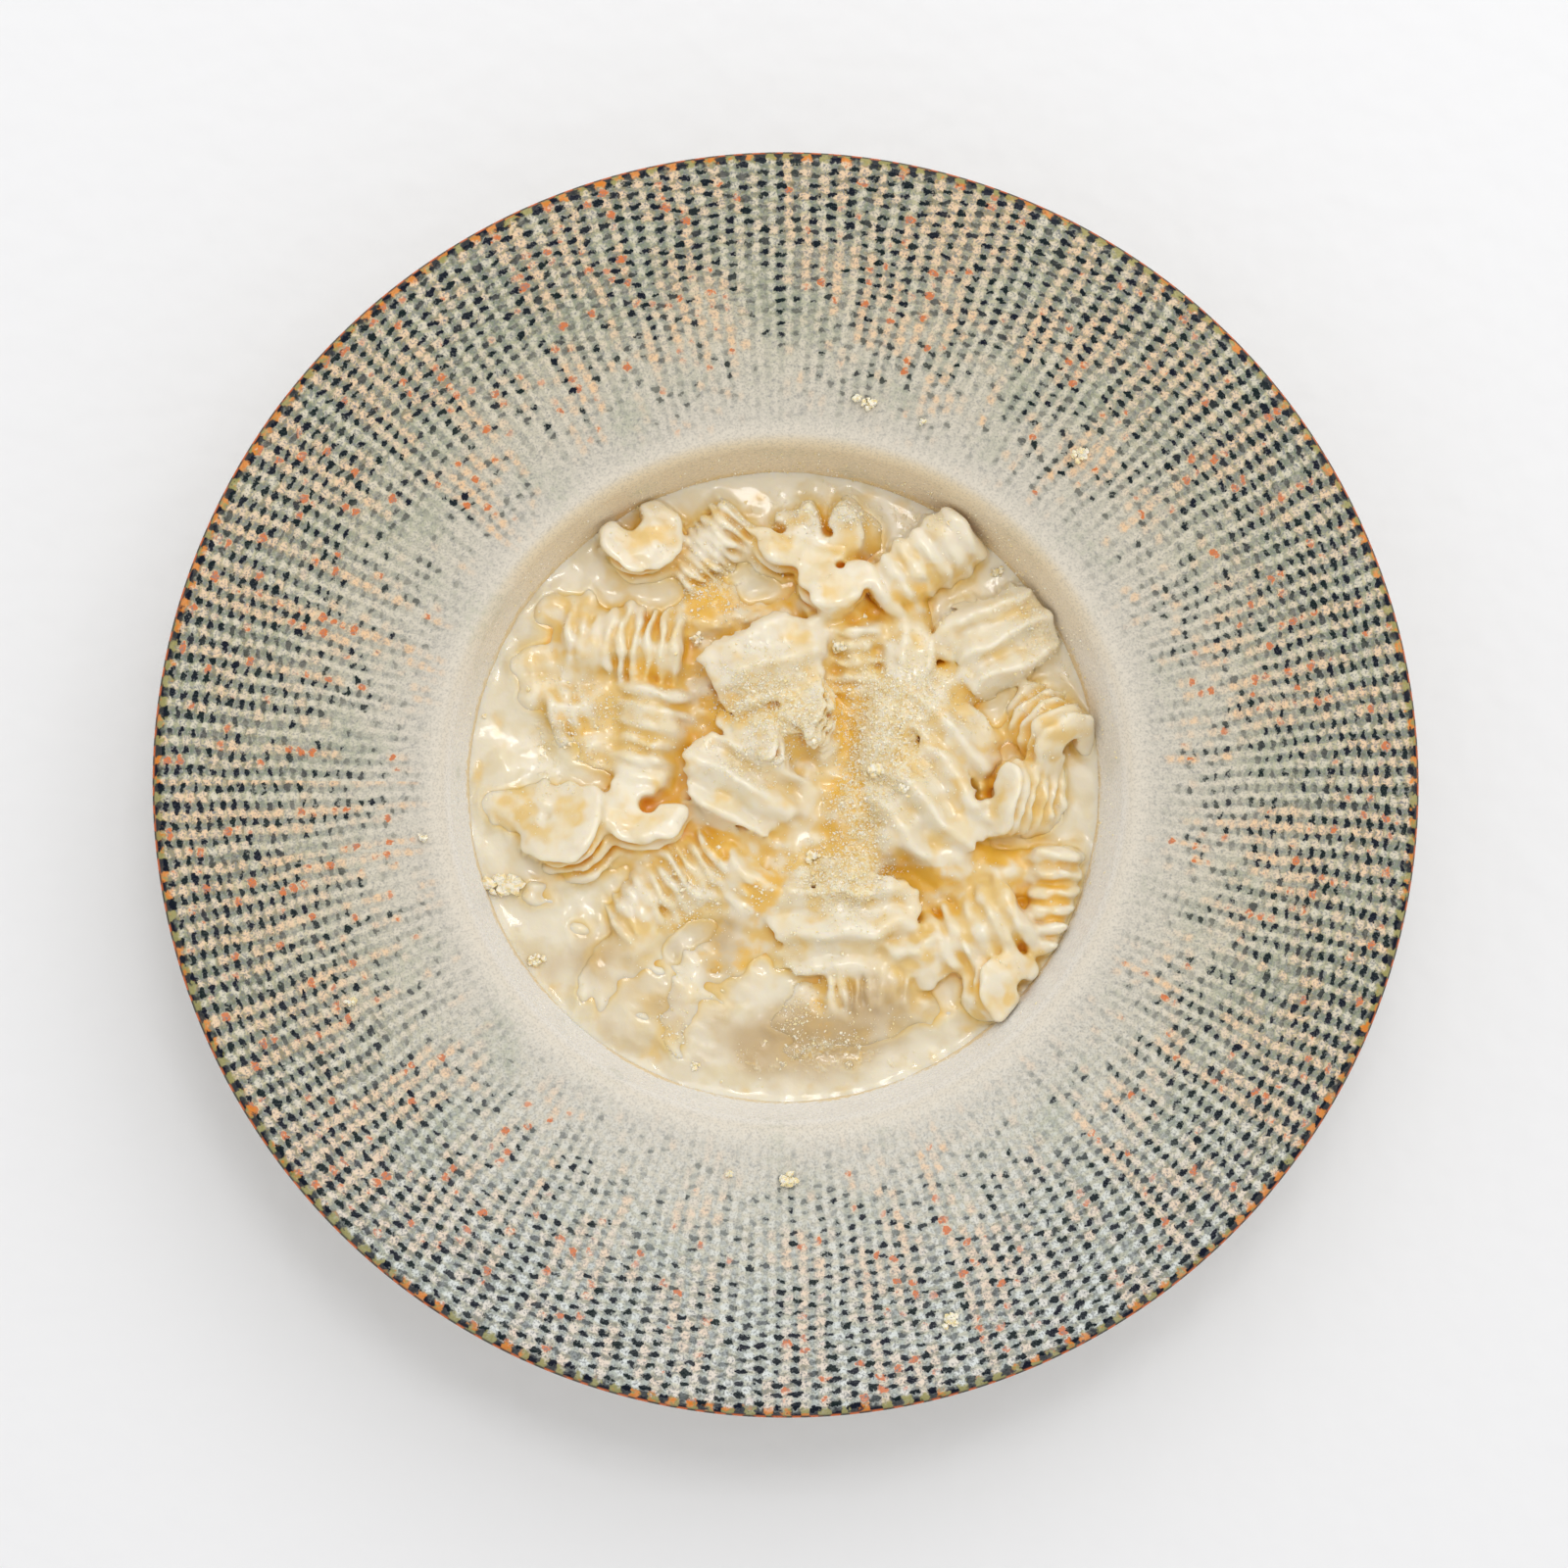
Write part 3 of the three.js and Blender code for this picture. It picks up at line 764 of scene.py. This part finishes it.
class Glaze(Graph):
    """Rows of dark dashes with lanes of cream stitches between them, fading to cream in the well.

    A row and a lane are 1 wide, and a dash is 1 long.
    """

    def __init__(self):
        super().__init__("glaze")
        place = self.place()
        x, y, self.z = self.split(place)
        self.radius = self.math("SQRT", x * x + y * y)
        self.facing = y / self.radius
        self.weave = self.radius.step(*WEAVE_BAND)
        self.relief = self.noise(place, 0.5, 1)
        self.grain = self.relief - 0.5
        self.flecks = self.noise(place, 1.1, 1).step(0.52, 0.7)
        self.patch, wander, self.tint = (noise - 0.5 for noise in self.noises(place, 16, 1))
        self.drift, self.slip, self.blot = (noise - 0.5 for noise in self.noises(place, 1.5, 3))
        turn = self.math("ARCTAN2", y, x) * (GLAZE_ROWS / (2 * math.pi))
        self.rows = turn + self.drift * 0.7 + wander * 0.9
        self.steps = self.radius / DASH_PITCH + self.slip * 0.9
        self.lay_dashes()
        self.lay_stitches()

    def lay_dashes(self):
        """Dark dashes along each row, some of them left out, with a haze round them."""
        row = self.rows.floor()
        self.across = self.rows - row - 0.5
        offset = (row % 2) * 0.42 + self.chances(row)[0] * 0.3
        dash = (self.steps + offset).floor()
        self.along = self.steps + offset - dash - 0.5
        off_row = self.across * self.across
        off_dash = self.along * self.along
        chance, self.tone, size = self.chances(row, dash)
        likely = self.weave * 1.3 + self.patch * 1.2 + (chance - 0.5) * 0.9
        likely = likely + (self.chances(row, 5)[0] - 0.5) * 0.4 - 0.02
        strength = likely.step(0.0, 1.0) * self.radius.step(*DASHES_BAND)
        reach = off_row * 11 + off_dash * 15 + (1 - self.weave) * 0.6
        reach = reach + self.blot * 2.4 + self.grain * 2.2 - size * 0.5
        self.dark = reach.step(1.2, 0.3) * strength
        smear = (off_row * 9 + off_dash * 2 + self.blot * 2.2).step(1.5, 0.1)
        self.haze = smear * (strength * 0.5 + self.weave * 0.5)
        self.own_bead = (off_row * 30 + off_dash * 7 + self.blot * 1.4).step(1.3, 0.2)

    def lay_stitches(self):
        """Cream stitches in the lanes between the rows, some of them peach or rust."""
        shifted = self.rows + 0.5
        lane = shifted.floor()
        beside = shifted - lane - 0.5
        lane_steps = self.steps + (lane % 2) * 0.5 + 0.2
        cell = lane_steps.floor()
        between = lane_steps - cell - 0.5
        self.spot, spot_tone = self.chances(lane, cell, 7)[:2]
        thread = self.chances(lane, 3)[0]
        self.stitch = (beside * beside * 9 + between * between * 8 + self.blot * 1.2).step(1.2, 0.3)
        edge = (abs(between) + self.blot * 1.3).step(0.32, 0.5)
        self.edging = edge * (self.spot * 0.8 + self.weave - 0.9).step(0.0, 0.6)
        peachy = self.weave * 0.7 + self.tint * 1.5 + (thread - 0.5) * 0.8 + (self.spot - 0.5) * 0.8 - 0.16
        lane_middle = self.radius.step(*WARM_BAND) * abs(beside).step(0.5, 0.15)
        self.warm = lane_middle * peachy.step(0.0, 0.9)
        self.cool = (self.weave * 0.9 - self.tint * 2.6 + self.blot * 1.6 - 0.25).step(0.0, 1.1)
        rusty = (spot_tone + self.slip * 0.9).step(0.76, 0.92)
        self.rust = (self.warm * self.stitch).step(0.15, 0.5) * rusty

    def ground(self):
        """Cream in the well and on the shoulder, darker and warmer toward the far wall as painted shade
        with some cream residue, passing into the stained ground of the weave.
        """
        # Painted shade, partly cream residue: the far side of the wall and shoulder is tinted darker and
        # warmer.
        far = (self.facing + self.patch * 0.6).step(-0.1, 0.9) * self.radius.step(*FAR_SHADE_BAND)
        inner = self.mix(self.radius.step(*SHOULDER_BAND), CREAM_SPECKLE, SHOULDER_CREAM)
        inner = self.mix(self.radius.step(*WELL_BAND), inner, WELL_CREAM)
        base = self.mix(self.weave, self.mix(far * 0.7, inner, FAR_WALL_SHADE_AND_RESIDUE), OUTER_CREAM)
        base = self.mix(self.cool * 0.45, base, SAGE)
        return self.mix(self.haze * 0.8, base, STAIN)

    def paint_weave(self, base):
        """The stitches, paler and bluer at the near side as a painted reflection, the flecks on them, and
        the dashes over all.
        """
        # Painted reflection: the near side of the weave is made paler and bluer, and its beads stronger.
        near = self.facing.step(-0.4, -1.0)
        bead_with_sheen = self.mix(self.facing.step(-0.3, -0.9), STITCH_CREAM, STITCH_SHEEN)
        beads = self.math("MAXIMUM", self.stitch, self.own_bead)
        base = self.mix(self.warm * (self.stitch * 0.45 + 0.35), base, PEACH)
        base = self.mix(near * self.weave * 0.4, base, STITCH_SHEEN)
        base = self.mix(beads * self.weave * (near * 0.2 + 0.62), base, bead_with_sheen)
        base = self.mix(self.warm * self.stitch * 0.4, base, PEACH)
        base = self.mix(self.edging * 0.62, base, THREAD)
        base = self.mix(self.rust * 0.85, base, RUST)
        flecks = self.flecks * self.radius.step(*FLECKS_BAND) * 0.3
        flecks = self.grain.step(-0.05, 0.2) * (0.2 + self.weave * 0.6) + flecks
        base = self.mix(flecks, base, FLECK)
        return self.mix(self.dark, base, self.mix(self.tone, NAVY, TEAL))

    def paint_lip(self, base):
        """Dark cells with moss and amber between them on the lip, and rust cells down its edge in
        near-black that is painted shade.
        """
        cell = abs(self.across) + self.blot * 0.6
        tint = self.mix((self.spot + self.drift * 2).step(0.5, 0.8), LIP_MOSS, LIP_AMBER)
        lip = (self.radius + self.slip * 4).step(*LIP_BAND)
        base = self.mix(lip * 0.85, base, self.mix(cell.step(0.32, 0.2), tint, NAVY))
        # Painted shade: the outer, down-turned side of the lip is near-black round its rust cells.
        edge = self.radius.step(*EDGE_BAND) * self.z.step(BOWL_HEIGHT - 0.6, BOWL_HEIGHT - 1.4)
        return self.mix(edge * 0.95, base, self.mix(cell.step(0.32, 0.16), EDGE_SHADE, EDGE_RUST))

    def paint_underside(self, base):
        """Plain glaze under the rim and on the outside of the well."""
        below_rim = BOWL_HEIGHT - self.z - (RIM_RADIUS - self.radius) * math.tan(RIM_SLOPE)
        behind_wall = self.radius - WALL_TOP_R - (self.z - WALL_TOP_Z) * math.tan(WALL_LEAN)
        return self.mix(below_rim.step(1.8, 3.2) * behind_wall.step(2, 4), base, UNDERSIDE)

    def paint_film(self, base):
        """A film of cream on the well's wall, just above the sauce."""
        height = self.z + self.blot * 5 + self.patch * 6
        film = height.step(SAUCE_LEVEL + 3.4, SAUCE_LEVEL + 1.2) * self.radius.step(*FILM_BAND)
        return self.mix(film * 0.8, base, SAUCE_FILM)


def glaze_material():
    g = Glaze()
    base = g.paint_lip(g.paint_weave(g.ground()))
    base = g.paint_film(g.paint_underside(base))
    return g.finish(base, 0.28 + g.blot * 0.2, g.relief, 0.1, Specular_IOR_Level=0.15)


# The colours of the food and the floor. The stops are painted shade, from golden orange deep in a groove to
# pale in the open.
# Gold of melting butter and cheese, also used as painted shade in gaps and hollows.
GOLD_MELT_AND_SHADE = colour(234, 184, 64)
BUTTER = colour(229, 193, 110)
# Duller, darker cream: thin sauce, partly painted shade.
DULL_SHADE_CREAM = colour(190, 160, 110)
# Milky cream streaks, partly painted light: laid mostly on open crests.
MILK_AND_PAINTED_LIGHT = colour(232, 224, 204)
CHEESE_PALE = colour(240, 229, 196)
CHEESE_GOLD = colour(230, 192, 106)
GRAIN_PALE = colour(245, 238, 218)
GRAIN_GOLD = colour(240, 220, 168)
PASTA_SHADE_STOPS = [
    (0.06, colour(232, 148, 6)),
    (0.26, colour(234, 172, 40)),
    (0.50, colour(231, 188, 90)),
    (0.74, colour(228, 202, 146)),
    (0.98, colour(230, 215, 181)),
]
SAUCE_SHADE_STOPS = [
    (0.02, colour(230, 164, 30)),
    (0.22, colour(229, 188, 96)),
    (0.55, colour(226, 202, 148)),
    (0.95, colour(223, 210, 178)),
]
FLOOR_WHITE = colour(236, 236, 237)


def cream_material(name, stops, richness, gold_strength):
    """Cream on pasta or sauce: pale in the open and golden in grooves, which is painted shade, and golden
    too where butter melts into it.
    """
    g = Graph(name)
    place = g.place()
    cloud = g.noise(place, 9, 1)
    fine = g.noise(place, 1.6)
    grit = g.noise(place, 0.9, 1)
    wash, veil, fleck = g.noises(place, 7)
    bare = g.attribute("open")
    gold = g.attribute("gold")
    crest = g.attribute("crest")
    # Painted shade: golden orange where a point sees little sky and in hollows, paler on crests.
    shade = bare + crest * 0.7 + (cloud - 0.5) * richness + (fine - 0.5) * 0.2 - 0.04
    base = g.ramp(shade, stops)
    base = g.mix((wash - crest * 0.2).step(0.42, 0.66) * bare * 0.75, base, BUTTER)
    # Partly painted light: whiter milky cream, mostly on open crests.
    base = g.mix((veil + crest * 0.25).step(0.46, 0.64) * bare * 0.8, base, MILK_AND_PAINTED_LIGHT)
    # Partly painted shade: duller, darker cream in patches, mostly by the near wall.
    base = g.mix((g.attribute("dull") + (cloud - 0.5)).step(0.1, 0.9) * 0.85, base, DULL_SHADE_CREAM)
    # Partly painted shade: the golden mix is stronger in hollows and in shaded gaps.
    golden = gold + (fleck - 0.5) * 1.1 + (fine - 0.5) * 0.5 - g.math("MAXIMUM", crest, -0.2) * 0.8
    base = g.mix(golden.step(0.32, 0.85) * gold_strength, base, GOLD_MELT_AND_SHADE)
    cheesy = g.attribute("cheese") + (cloud - 0.5) * 0.8 + (fine - 0.5) * 1.2
    crumbs = cheesy.step(0.4, 0.8) * bare.step(0.06, 0.4)
    crumb = g.mix((grit + (fine - 0.5) * 0.6).step(0.3, 0.62), CHEESE_GOLD, CHEESE_PALE)
    base = g.mix(crumbs * 0.6, base, crumb)
    height = fine * 0.3 + g.noise(place, 4.5, 0) * 1.2 + grit * crumbs * 1.6
    return g.finish(
        base, 0.3 + crumbs * 0.35, height, 0.3,
        Subsurface_Weight=0.5, Subsurface_Radius=(1.0, 0.84, 0.42), Subsurface_Scale=2.2 * MM,
        Coat_Weight=0.6, Coat_Roughness=0.06, Specular_IOR_Level=0.35,
    )


def cheese_material(name):
    """Hard cheese: pale, slightly translucent grains, some of them golden."""
    g = Graph(name)
    place = g.place()
    base = g.mix(g.noise(place, 1.2).step(0.36, 0.6), GRAIN_GOLD, GRAIN_PALE)
    return g.finish(
        base, 0.5, g.noise(place, 0.5), 0.05,
        Subsurface_Weight=0.3, Subsurface_Radius=(1.0, 0.75, 0.35), Subsurface_Scale=0.4 * MM,
    )


def floor_material():
    g = Graph("floor")
    return g.finish(FLOOR_WHITE, 0.8, g.noise(g.place(), 9, 1), 0.5)


# ---- Bowl ----------------------------------------------------------------


def arc(r, z, radius, from_degrees, to_degrees, steps):
    """Points of a section on a circle, both ends included."""
    angles = np.radians(np.linspace(from_degrees, to_degrees, steps + 1))
    return [(r + radius * math.cos(a), z + radius * math.sin(a)) for a in angles]


def well_section():
    """The inside of the well, from the axis up to the top of its wall."""
    centre_z = WELL_FLOOR + WELL_FILLET
    centre_r = well_wall(centre_z - WELL_FILLET * math.sin(WALL_LEAN)) - WELL_FILLET * math.cos(WALL_LEAN)
    fillet = arc(centre_r, centre_z, WELL_FILLET, -90, -math.degrees(WALL_LEAN), 5)
    return [(0.01, WELL_FLOOR), *fillet, (WALL_TOP_R, WALL_TOP_Z)]


def bowl_section():
    """The bowl's section, from the middle of the well over the rim and lip and back under to the foot."""
    lean, slope = math.degrees(WALL_LEAN), math.degrees(RIM_SLOPE)
    shoulder_r = WALL_TOP_R + SHOULDER_ROUND * math.cos(WALL_LEAN)
    shoulder_z = WALL_TOP_Z - SHOULDER_ROUND * math.sin(WALL_LEAN)
    lip_r, lip_z = RIM_RADIUS - LIP_ROUND, BOWL_HEIGHT - LIP_ROUND
    shoulder = arc(shoulder_r, shoulder_z, SHOULDER_ROUND, 180 - lean, 90 + slope, 6)
    lip = arc(lip_r, lip_z, LIP_ROUND, 90 + slope, slope - 90, 7)
    rim = [tuple(p) for p in np.linspace(shoulder[-1], lip[0], RIM_RINGS + 1)[1:-1]]
    under_r, under_z = lip[-1]
    inner_r = shoulder_r + 4
    under = [
        (inner_r, under_z - (under_r - inner_r) * math.tan(RIM_SLOPE)),
        (WALL_TOP_R + BODY_THICKNESS - 0.4, WALL_TOP_Z - 8),
        (WALL_TOP_R + BODY_THICKNESS - 4.6, WALL_TOP_Z - 20),
        (FOOT_OUTER + 13, FOOT_SPREAD + 4.5),
        (FOOT_OUTER + 3, FOOT_SPREAD),
        (FOOT_OUTER, 0.0),
        (FOOT_INNER, 0.0),
        (FOOT_INNER - 2, FOOT_RECESS),
        (0.01, FOOT_RECESS),
    ]
    return [*well_section(), *shoulder[1:], *rim, *lip, *under]


def weave_height(radius, rows):
    """The relief of the glaze: rounded stitches between sunk rows of dashes."""
    fade = np.clip((radius - 84) / 34, 0, 1) * np.clip((RIM_RADIUS - 1.5 - radius) / 3, 0, 1)
    lane = np.floor(rows + 0.5) % 2
    swell = 0.5 + 0.5 * np.cos(2 * math.pi * rows)
    stitch = 0.5 - 0.5 * np.cos(2 * math.pi * (radius / DASH_PITCH + 0.5 * lane))
    return WEAVE_RELIEF * fade * (swell * (0.5 + 0.5 * stitch) - 0.5)


def make_bowl():
    section = np.array(bowl_section())
    sides = GLAZE_ROWS * SIDES_PER_ROW
    rows = np.arange(sides) / SIDES_PER_ROW - GLAZE_ROWS / 2
    angle = rows * 2 * math.pi / GLAZE_ROWS
    on_top = section[:, 1] > WALL_TOP_Z + 2
    radius = np.repeat(section[:, :1], sides, axis=1)
    height = np.repeat(section[:, 1:], sides, axis=1)
    height += weave_height(radius, rows[None, :]) * on_top[:, None]
    points = np.stack([radius * np.cos(angle), radius * np.sin(angle), height], axis=-1).reshape(-1, 3)
    bowl = make_mesh("stoneware_bowl", points, grid_faces(len(section), sides))
    bowl.data.materials.append(glaze_material())
    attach(bowl, "root")
    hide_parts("bowl")


# ---- Heap ----------------------------------------------------------------


def roughen(space, field, draw):
    """Adds the small swells of cream on pasta, and crumbs where cheese lies."""
    x, y, z = space.grid()
    swell = 0.28 * waves([x, y, z], 9, draw, 6) + 0.16 * waves([x, y, z], 4.5, draw, 6)
    crumbs = waves([x, y, z], 2.6, draw, 8) + 0.7 * waves([x, y, z], 1.7, draw, 8)
    return field - swell - 0.28 * crumbs * cover(CHEESE, x, y)


def make_heap(space, draw):
    """The heap above the sauce, in one skin: cream joins the pieces on top to those under them."""
    heap = core_field(space, draw)
    add_radiatori(space, heap, LOWER_PIECES, draw, 1.8)
    upper = np.full(space.shape, FAR, np.float32)
    add_radiatori(space, upper, UPPER_PIECES, draw, 1.2)
    add_sheets(space, upper, draw, 0.8)
    heap = drape(space, smooth_min(heap, upper, 2.0), draw)
    heap = soften(inside_well(space, roughen(space, heap, draw)), 1)
    points, faces = space.mesh(heap)
    piece = make_mesh("radiatori_in_cream", points, faces)
    set_food_attributes(piece, space, heap, points)
    piece.data.materials.append(cream_material("creamy_pasta", PASTA_SHADE_STOPS, 0.3, 0.85))
    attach(piece, "root")
    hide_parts("radiatori")
    return heap


def make_sauce(space, heap):
    """The cream sauce up to its level, drawn up against the pasta and the wall."""
    x, y, z = space.grid()
    draw = np.random.default_rng(SEED + 1)
    level = SAUCE_LEVEL + 0.22 * waves([x, y], 9, draw, 6) + 0.3 * waves([x, y], 24, draw, 6)
    drawn_up = space.heights(smooth_min(heap, np.clip(z - level, -FAR, FAR), 2.4))
    wall = well_section()
    wall_r = well_wall(SAUCE_LEVEL + 0.5)
    edge_r = well_wall(SAUCE_LEVEL + 4)
    radius = np.linspace(0.01, edge_r, SAUCE_RINGS)[:, None]
    angle = np.linspace(0, 2 * math.pi, SAUCE_SIDES, endpoint=False)[None, :]
    x, y = radius * np.cos(angle), radius * np.sin(angle)
    skin = space.blend(space.heights(heap), x, y)
    sunk = np.clip((skin - SAUCE_LEVEL - 1.2) / 1.5, 0, 1)
    top = np.minimum(space.blend(drawn_up, x, y) + 0.3 - 1.6 * sunk, SAUCE_LEVEL + 3)
    top = np.maximum(top, SAUCE_LEVEL - 1) + 0.6 * np.exp(np.minimum(radius - wall_r, 0) / 0.9)
    surface = np.stack([x, y, top], axis=-1).reshape(-1, 3)
    points = [surface]
    under = [(r, z) for r, z in wall[::-1] if z < SAUCE_LEVEL - 1]
    for r, z in under:
        ring = np.stack([r * np.cos(angle), r * np.sin(angle), np.full_like(angle, z)], axis=-1)
        points.append(ring.reshape(-1, 3))
    points = np.concatenate(points)
    sauce = make_mesh("cream_sauce", points, grid_faces(SAUCE_RINGS + len(under), SAUCE_SIDES))
    open_air = points.copy()
    open_air[: top.size, 2] = np.maximum(top, skin).ravel()
    set_food_attributes(sauce, space, heap, open_air)
    sauce.data.materials.append(cream_material("cream_sauce", SAUCE_SHADE_STOPS, 0.2, 0.4))
    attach(sauce, "root")
    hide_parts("sauce")


# ---- Grated cheese -------------------------------------------------------


def rim_height(x, y):
    return BOWL_HEIGHT - (RIM_RADIUS - LIP_ROUND - np.hypot(x, y)) * math.tan(RIM_SLOPE)


def clusters(crumbs, draw):
    """The places and sizes of the grains that stick together in each crumb."""
    places, sizes = [], []
    for crumb in crumbs:
        count = int(7 + 5 * crumb.size)
        spread = draw.normal(size=(count, 3)) * crumb.size * (0.26, 0.2, 0.14)
        places.append(spread + (crumb.x, crumb.y, 0.3 * crumb.size))
        sizes.append(draw.uniform(0.2, 0.38, count) * crumb.size)
    return np.concatenate(places), np.concatenate(sizes)


def scattered(draw):
    """Places in the plan for grains, thick where the cheese is and sparse elsewhere."""
    shares = np.array([patch.reach_x * patch.reach_y * patch.cover for patch in CHEESE])
    counts = (shares / shares.sum() * GRAINS * 0.9).astype(int)
    places = []
    for patch, count in zip(CHEESE, counts):
        knots = draw.normal(size=(max(count // KNOT_GRAINS, 1), 2)) * 0.62
        spread = knots[draw.integers(len(knots), size=count)] + draw.normal(size=(count, 2)) * 0.16
        places.append(spread * (patch.reach_x, patch.reach_y) + (patch.x, patch.y))
    loose = draw.uniform(-70, 70, (GRAINS // 10, 2))
    places = np.concatenate([*places, loose])
    return places[np.hypot(places[:, 0], places[:, 1]) < well_wall(SAUCE_LEVEL) - 1]


def wall_grains(draw):
    """Fine grains that stuck to the far side of the well's wall."""
    angle = np.radians(draw.normal(62, 48, WALL_GRAINS))
    height = SAUCE_LEVEL + 1 + 13 * draw.uniform(0, 1, WALL_GRAINS) ** 1.6
    radius = well_wall(height) - 0.1
    return np.stack([radius * np.cos(angle), radius * np.sin(angle), height], axis=1)


def make_grains(name, places, sizes, sides, draw):
    """Lumpy grains as one mesh: coarse balls with their corners pushed in and out."""
    ball = bmesh.new()
    bmesh.ops.create_uvsphere(ball, u_segments=sides, v_segments=sides // 2, radius=1)
    bmesh.ops.triangulate(ball, faces=ball.faces[:])
    corners = np.array([vertex.co for vertex in ball.verts])
    faces = np.array([[vertex.index for vertex in face.verts] for face in ball.faces])
    ball.free()
    count = len(places)
    turn = np.linalg.qr(draw.normal(size=(count, 3, 3)))[0]
    turn *= np.sign(np.linalg.det(turn))[:, None, None]
    push = draw.uniform(0.65, 1.25, (count, len(corners), 1))
    squash = draw.uniform(0.55, 1.3, (count, 1, 3))
    shapes = (corners * push * squash) @ turn * sizes[:, None, None]
    points = (places[:, None, :] + shapes).reshape(-1, 3)
    faces = (faces[None] + np.arange(count)[:, None, None] * len(corners)).reshape(-1, 3)
    grains = make_mesh(name, points, faces)
    grains.data.shade_flat()
    grains.data.materials.append(cheese_material(name))
    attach(grains, "root")


def make_cheese(space, heap, draw):
    """Grated cheese on the food, on the wall of the well and on the rim."""
    tops = np.maximum(space.heights(heap), SAUCE_LEVEL)
    plan = scattered(draw)
    sizes = 0.19 * np.exp(0.42 * draw.normal(size=len(plan)))
    height = space.blend(tops, plan[:, 0], plan[:, 1]) + sizes * draw.uniform(-0.5, 0.8, len(plan))
    places = np.concatenate([np.column_stack([plan, height]), wall_grains(draw)])
    sizes = np.concatenate([sizes, draw.uniform(0.14, 0.34, WALL_GRAINS)])
    make_grains("grated_cheese", places, sizes, GRAIN_SIDES, draw)
    crumbs, crumb_sizes = clusters(FOOD_CRUMBS, draw)
    crumbs[:, 2] += space.blend(tops, crumbs[:, 0], crumbs[:, 1])
    make_grains("crumbs_on_food", crumbs, crumb_sizes, CRUMB_SIDES, draw)
    crumbs, crumb_sizes = clusters(RIM_CRUMBS, draw)
    crumbs[:, 2] += rim_height(crumbs[:, 0], crumbs[:, 1])
    make_grains("crumbs_on_rim", crumbs, crumb_sizes, CRUMB_SIDES, draw)


# ---- Camera, light and floor ---------------------------------------------

PHOTO_WIDTH_PX = 1600
MM_PER_PX = 0.216
CAMERA_AT = Vector((-36, -48, BOWL_HEIGHT + 1000))
CAMERA_AIM = Vector((-1.1, -0.8, BOWL_HEIGHT))
SENSOR = 36

# Square lights that face the bowl: the name, middle and side of each, and its energy in watts.
LIGHTS = [
    ("softbox", (300, 750, 1250), 1250, 6.0),
    ("window", (50, 380, 1450), 300, 2.6),
]
WORLD_STRENGTH = 0.8
FLOOR_REACH = 3000


def make_camera():
    data = bpy.data.cameras.new("camera")
    data.sensor_width = SENSOR
    data.lens = SENSOR * (CAMERA_AT - CAMERA_AIM).length / (PHOTO_WIDTH_PX * MM_PER_PX)
    camera = bpy.data.objects.new("camera", data)
    back = (CAMERA_AT - CAMERA_AIM).normalized()
    right = Vector((0, 1, 0)).cross(back).normalized()
    turn = Matrix((right, back.cross(right), back)).transposed().to_4x4()
    camera.matrix_world = Matrix.Translation(CAMERA_AT * MM) @ turn
    bpy.context.scene.collection.objects.link(camera)
    bpy.context.scene.camera = camera


def make_light(name, middle, side, energy):
    data = bpy.data.lights.new(name, "AREA")
    data.size = side * MM
    data.energy = energy
    light = bpy.data.objects.new(name, data)
    at = Vector(middle) * MM
    light.matrix_world = Matrix.Translation(at) @ at.to_track_quat("Z", "Y").to_matrix().to_4x4()
    bpy.context.scene.collection.objects.link(light)


def make_world():
    """White light from all round."""
    world = bpy.data.worlds.new("studio")
    world.use_nodes = True
    background = world.node_tree.nodes["Background"]
    background.inputs["Color"].default_value = (1, 1, 1, 1)
    background.inputs["Strength"].default_value = WORLD_STRENGTH
    bpy.context.scene.world = world


def make_floor():
    reach = FLOOR_REACH
    corners = [(-reach, -reach, 0), (reach, -reach, 0), (reach, reach, 0), (-reach, reach, 0)]
    floor = make_mesh("floor", corners, [(0, 1, 2, 3)])
    floor.data.materials.append(floor_material())


# ---- The scene -----------------------------------------------------------

make_camera()
for light in LIGHTS:
    make_light(*light)
make_world()
make_floor()
make_bowl()
space = Space(HEAP_LOW, HEAP_HIGH, VOXEL)
heap = make_heap(space, np.random.default_rng(SEED))
make_sauce(space, heap)
make_cheese(space, heap, np.random.default_rng(SEED + 2))
bpy.context.scene.view_settings.view_transform = "Standard"
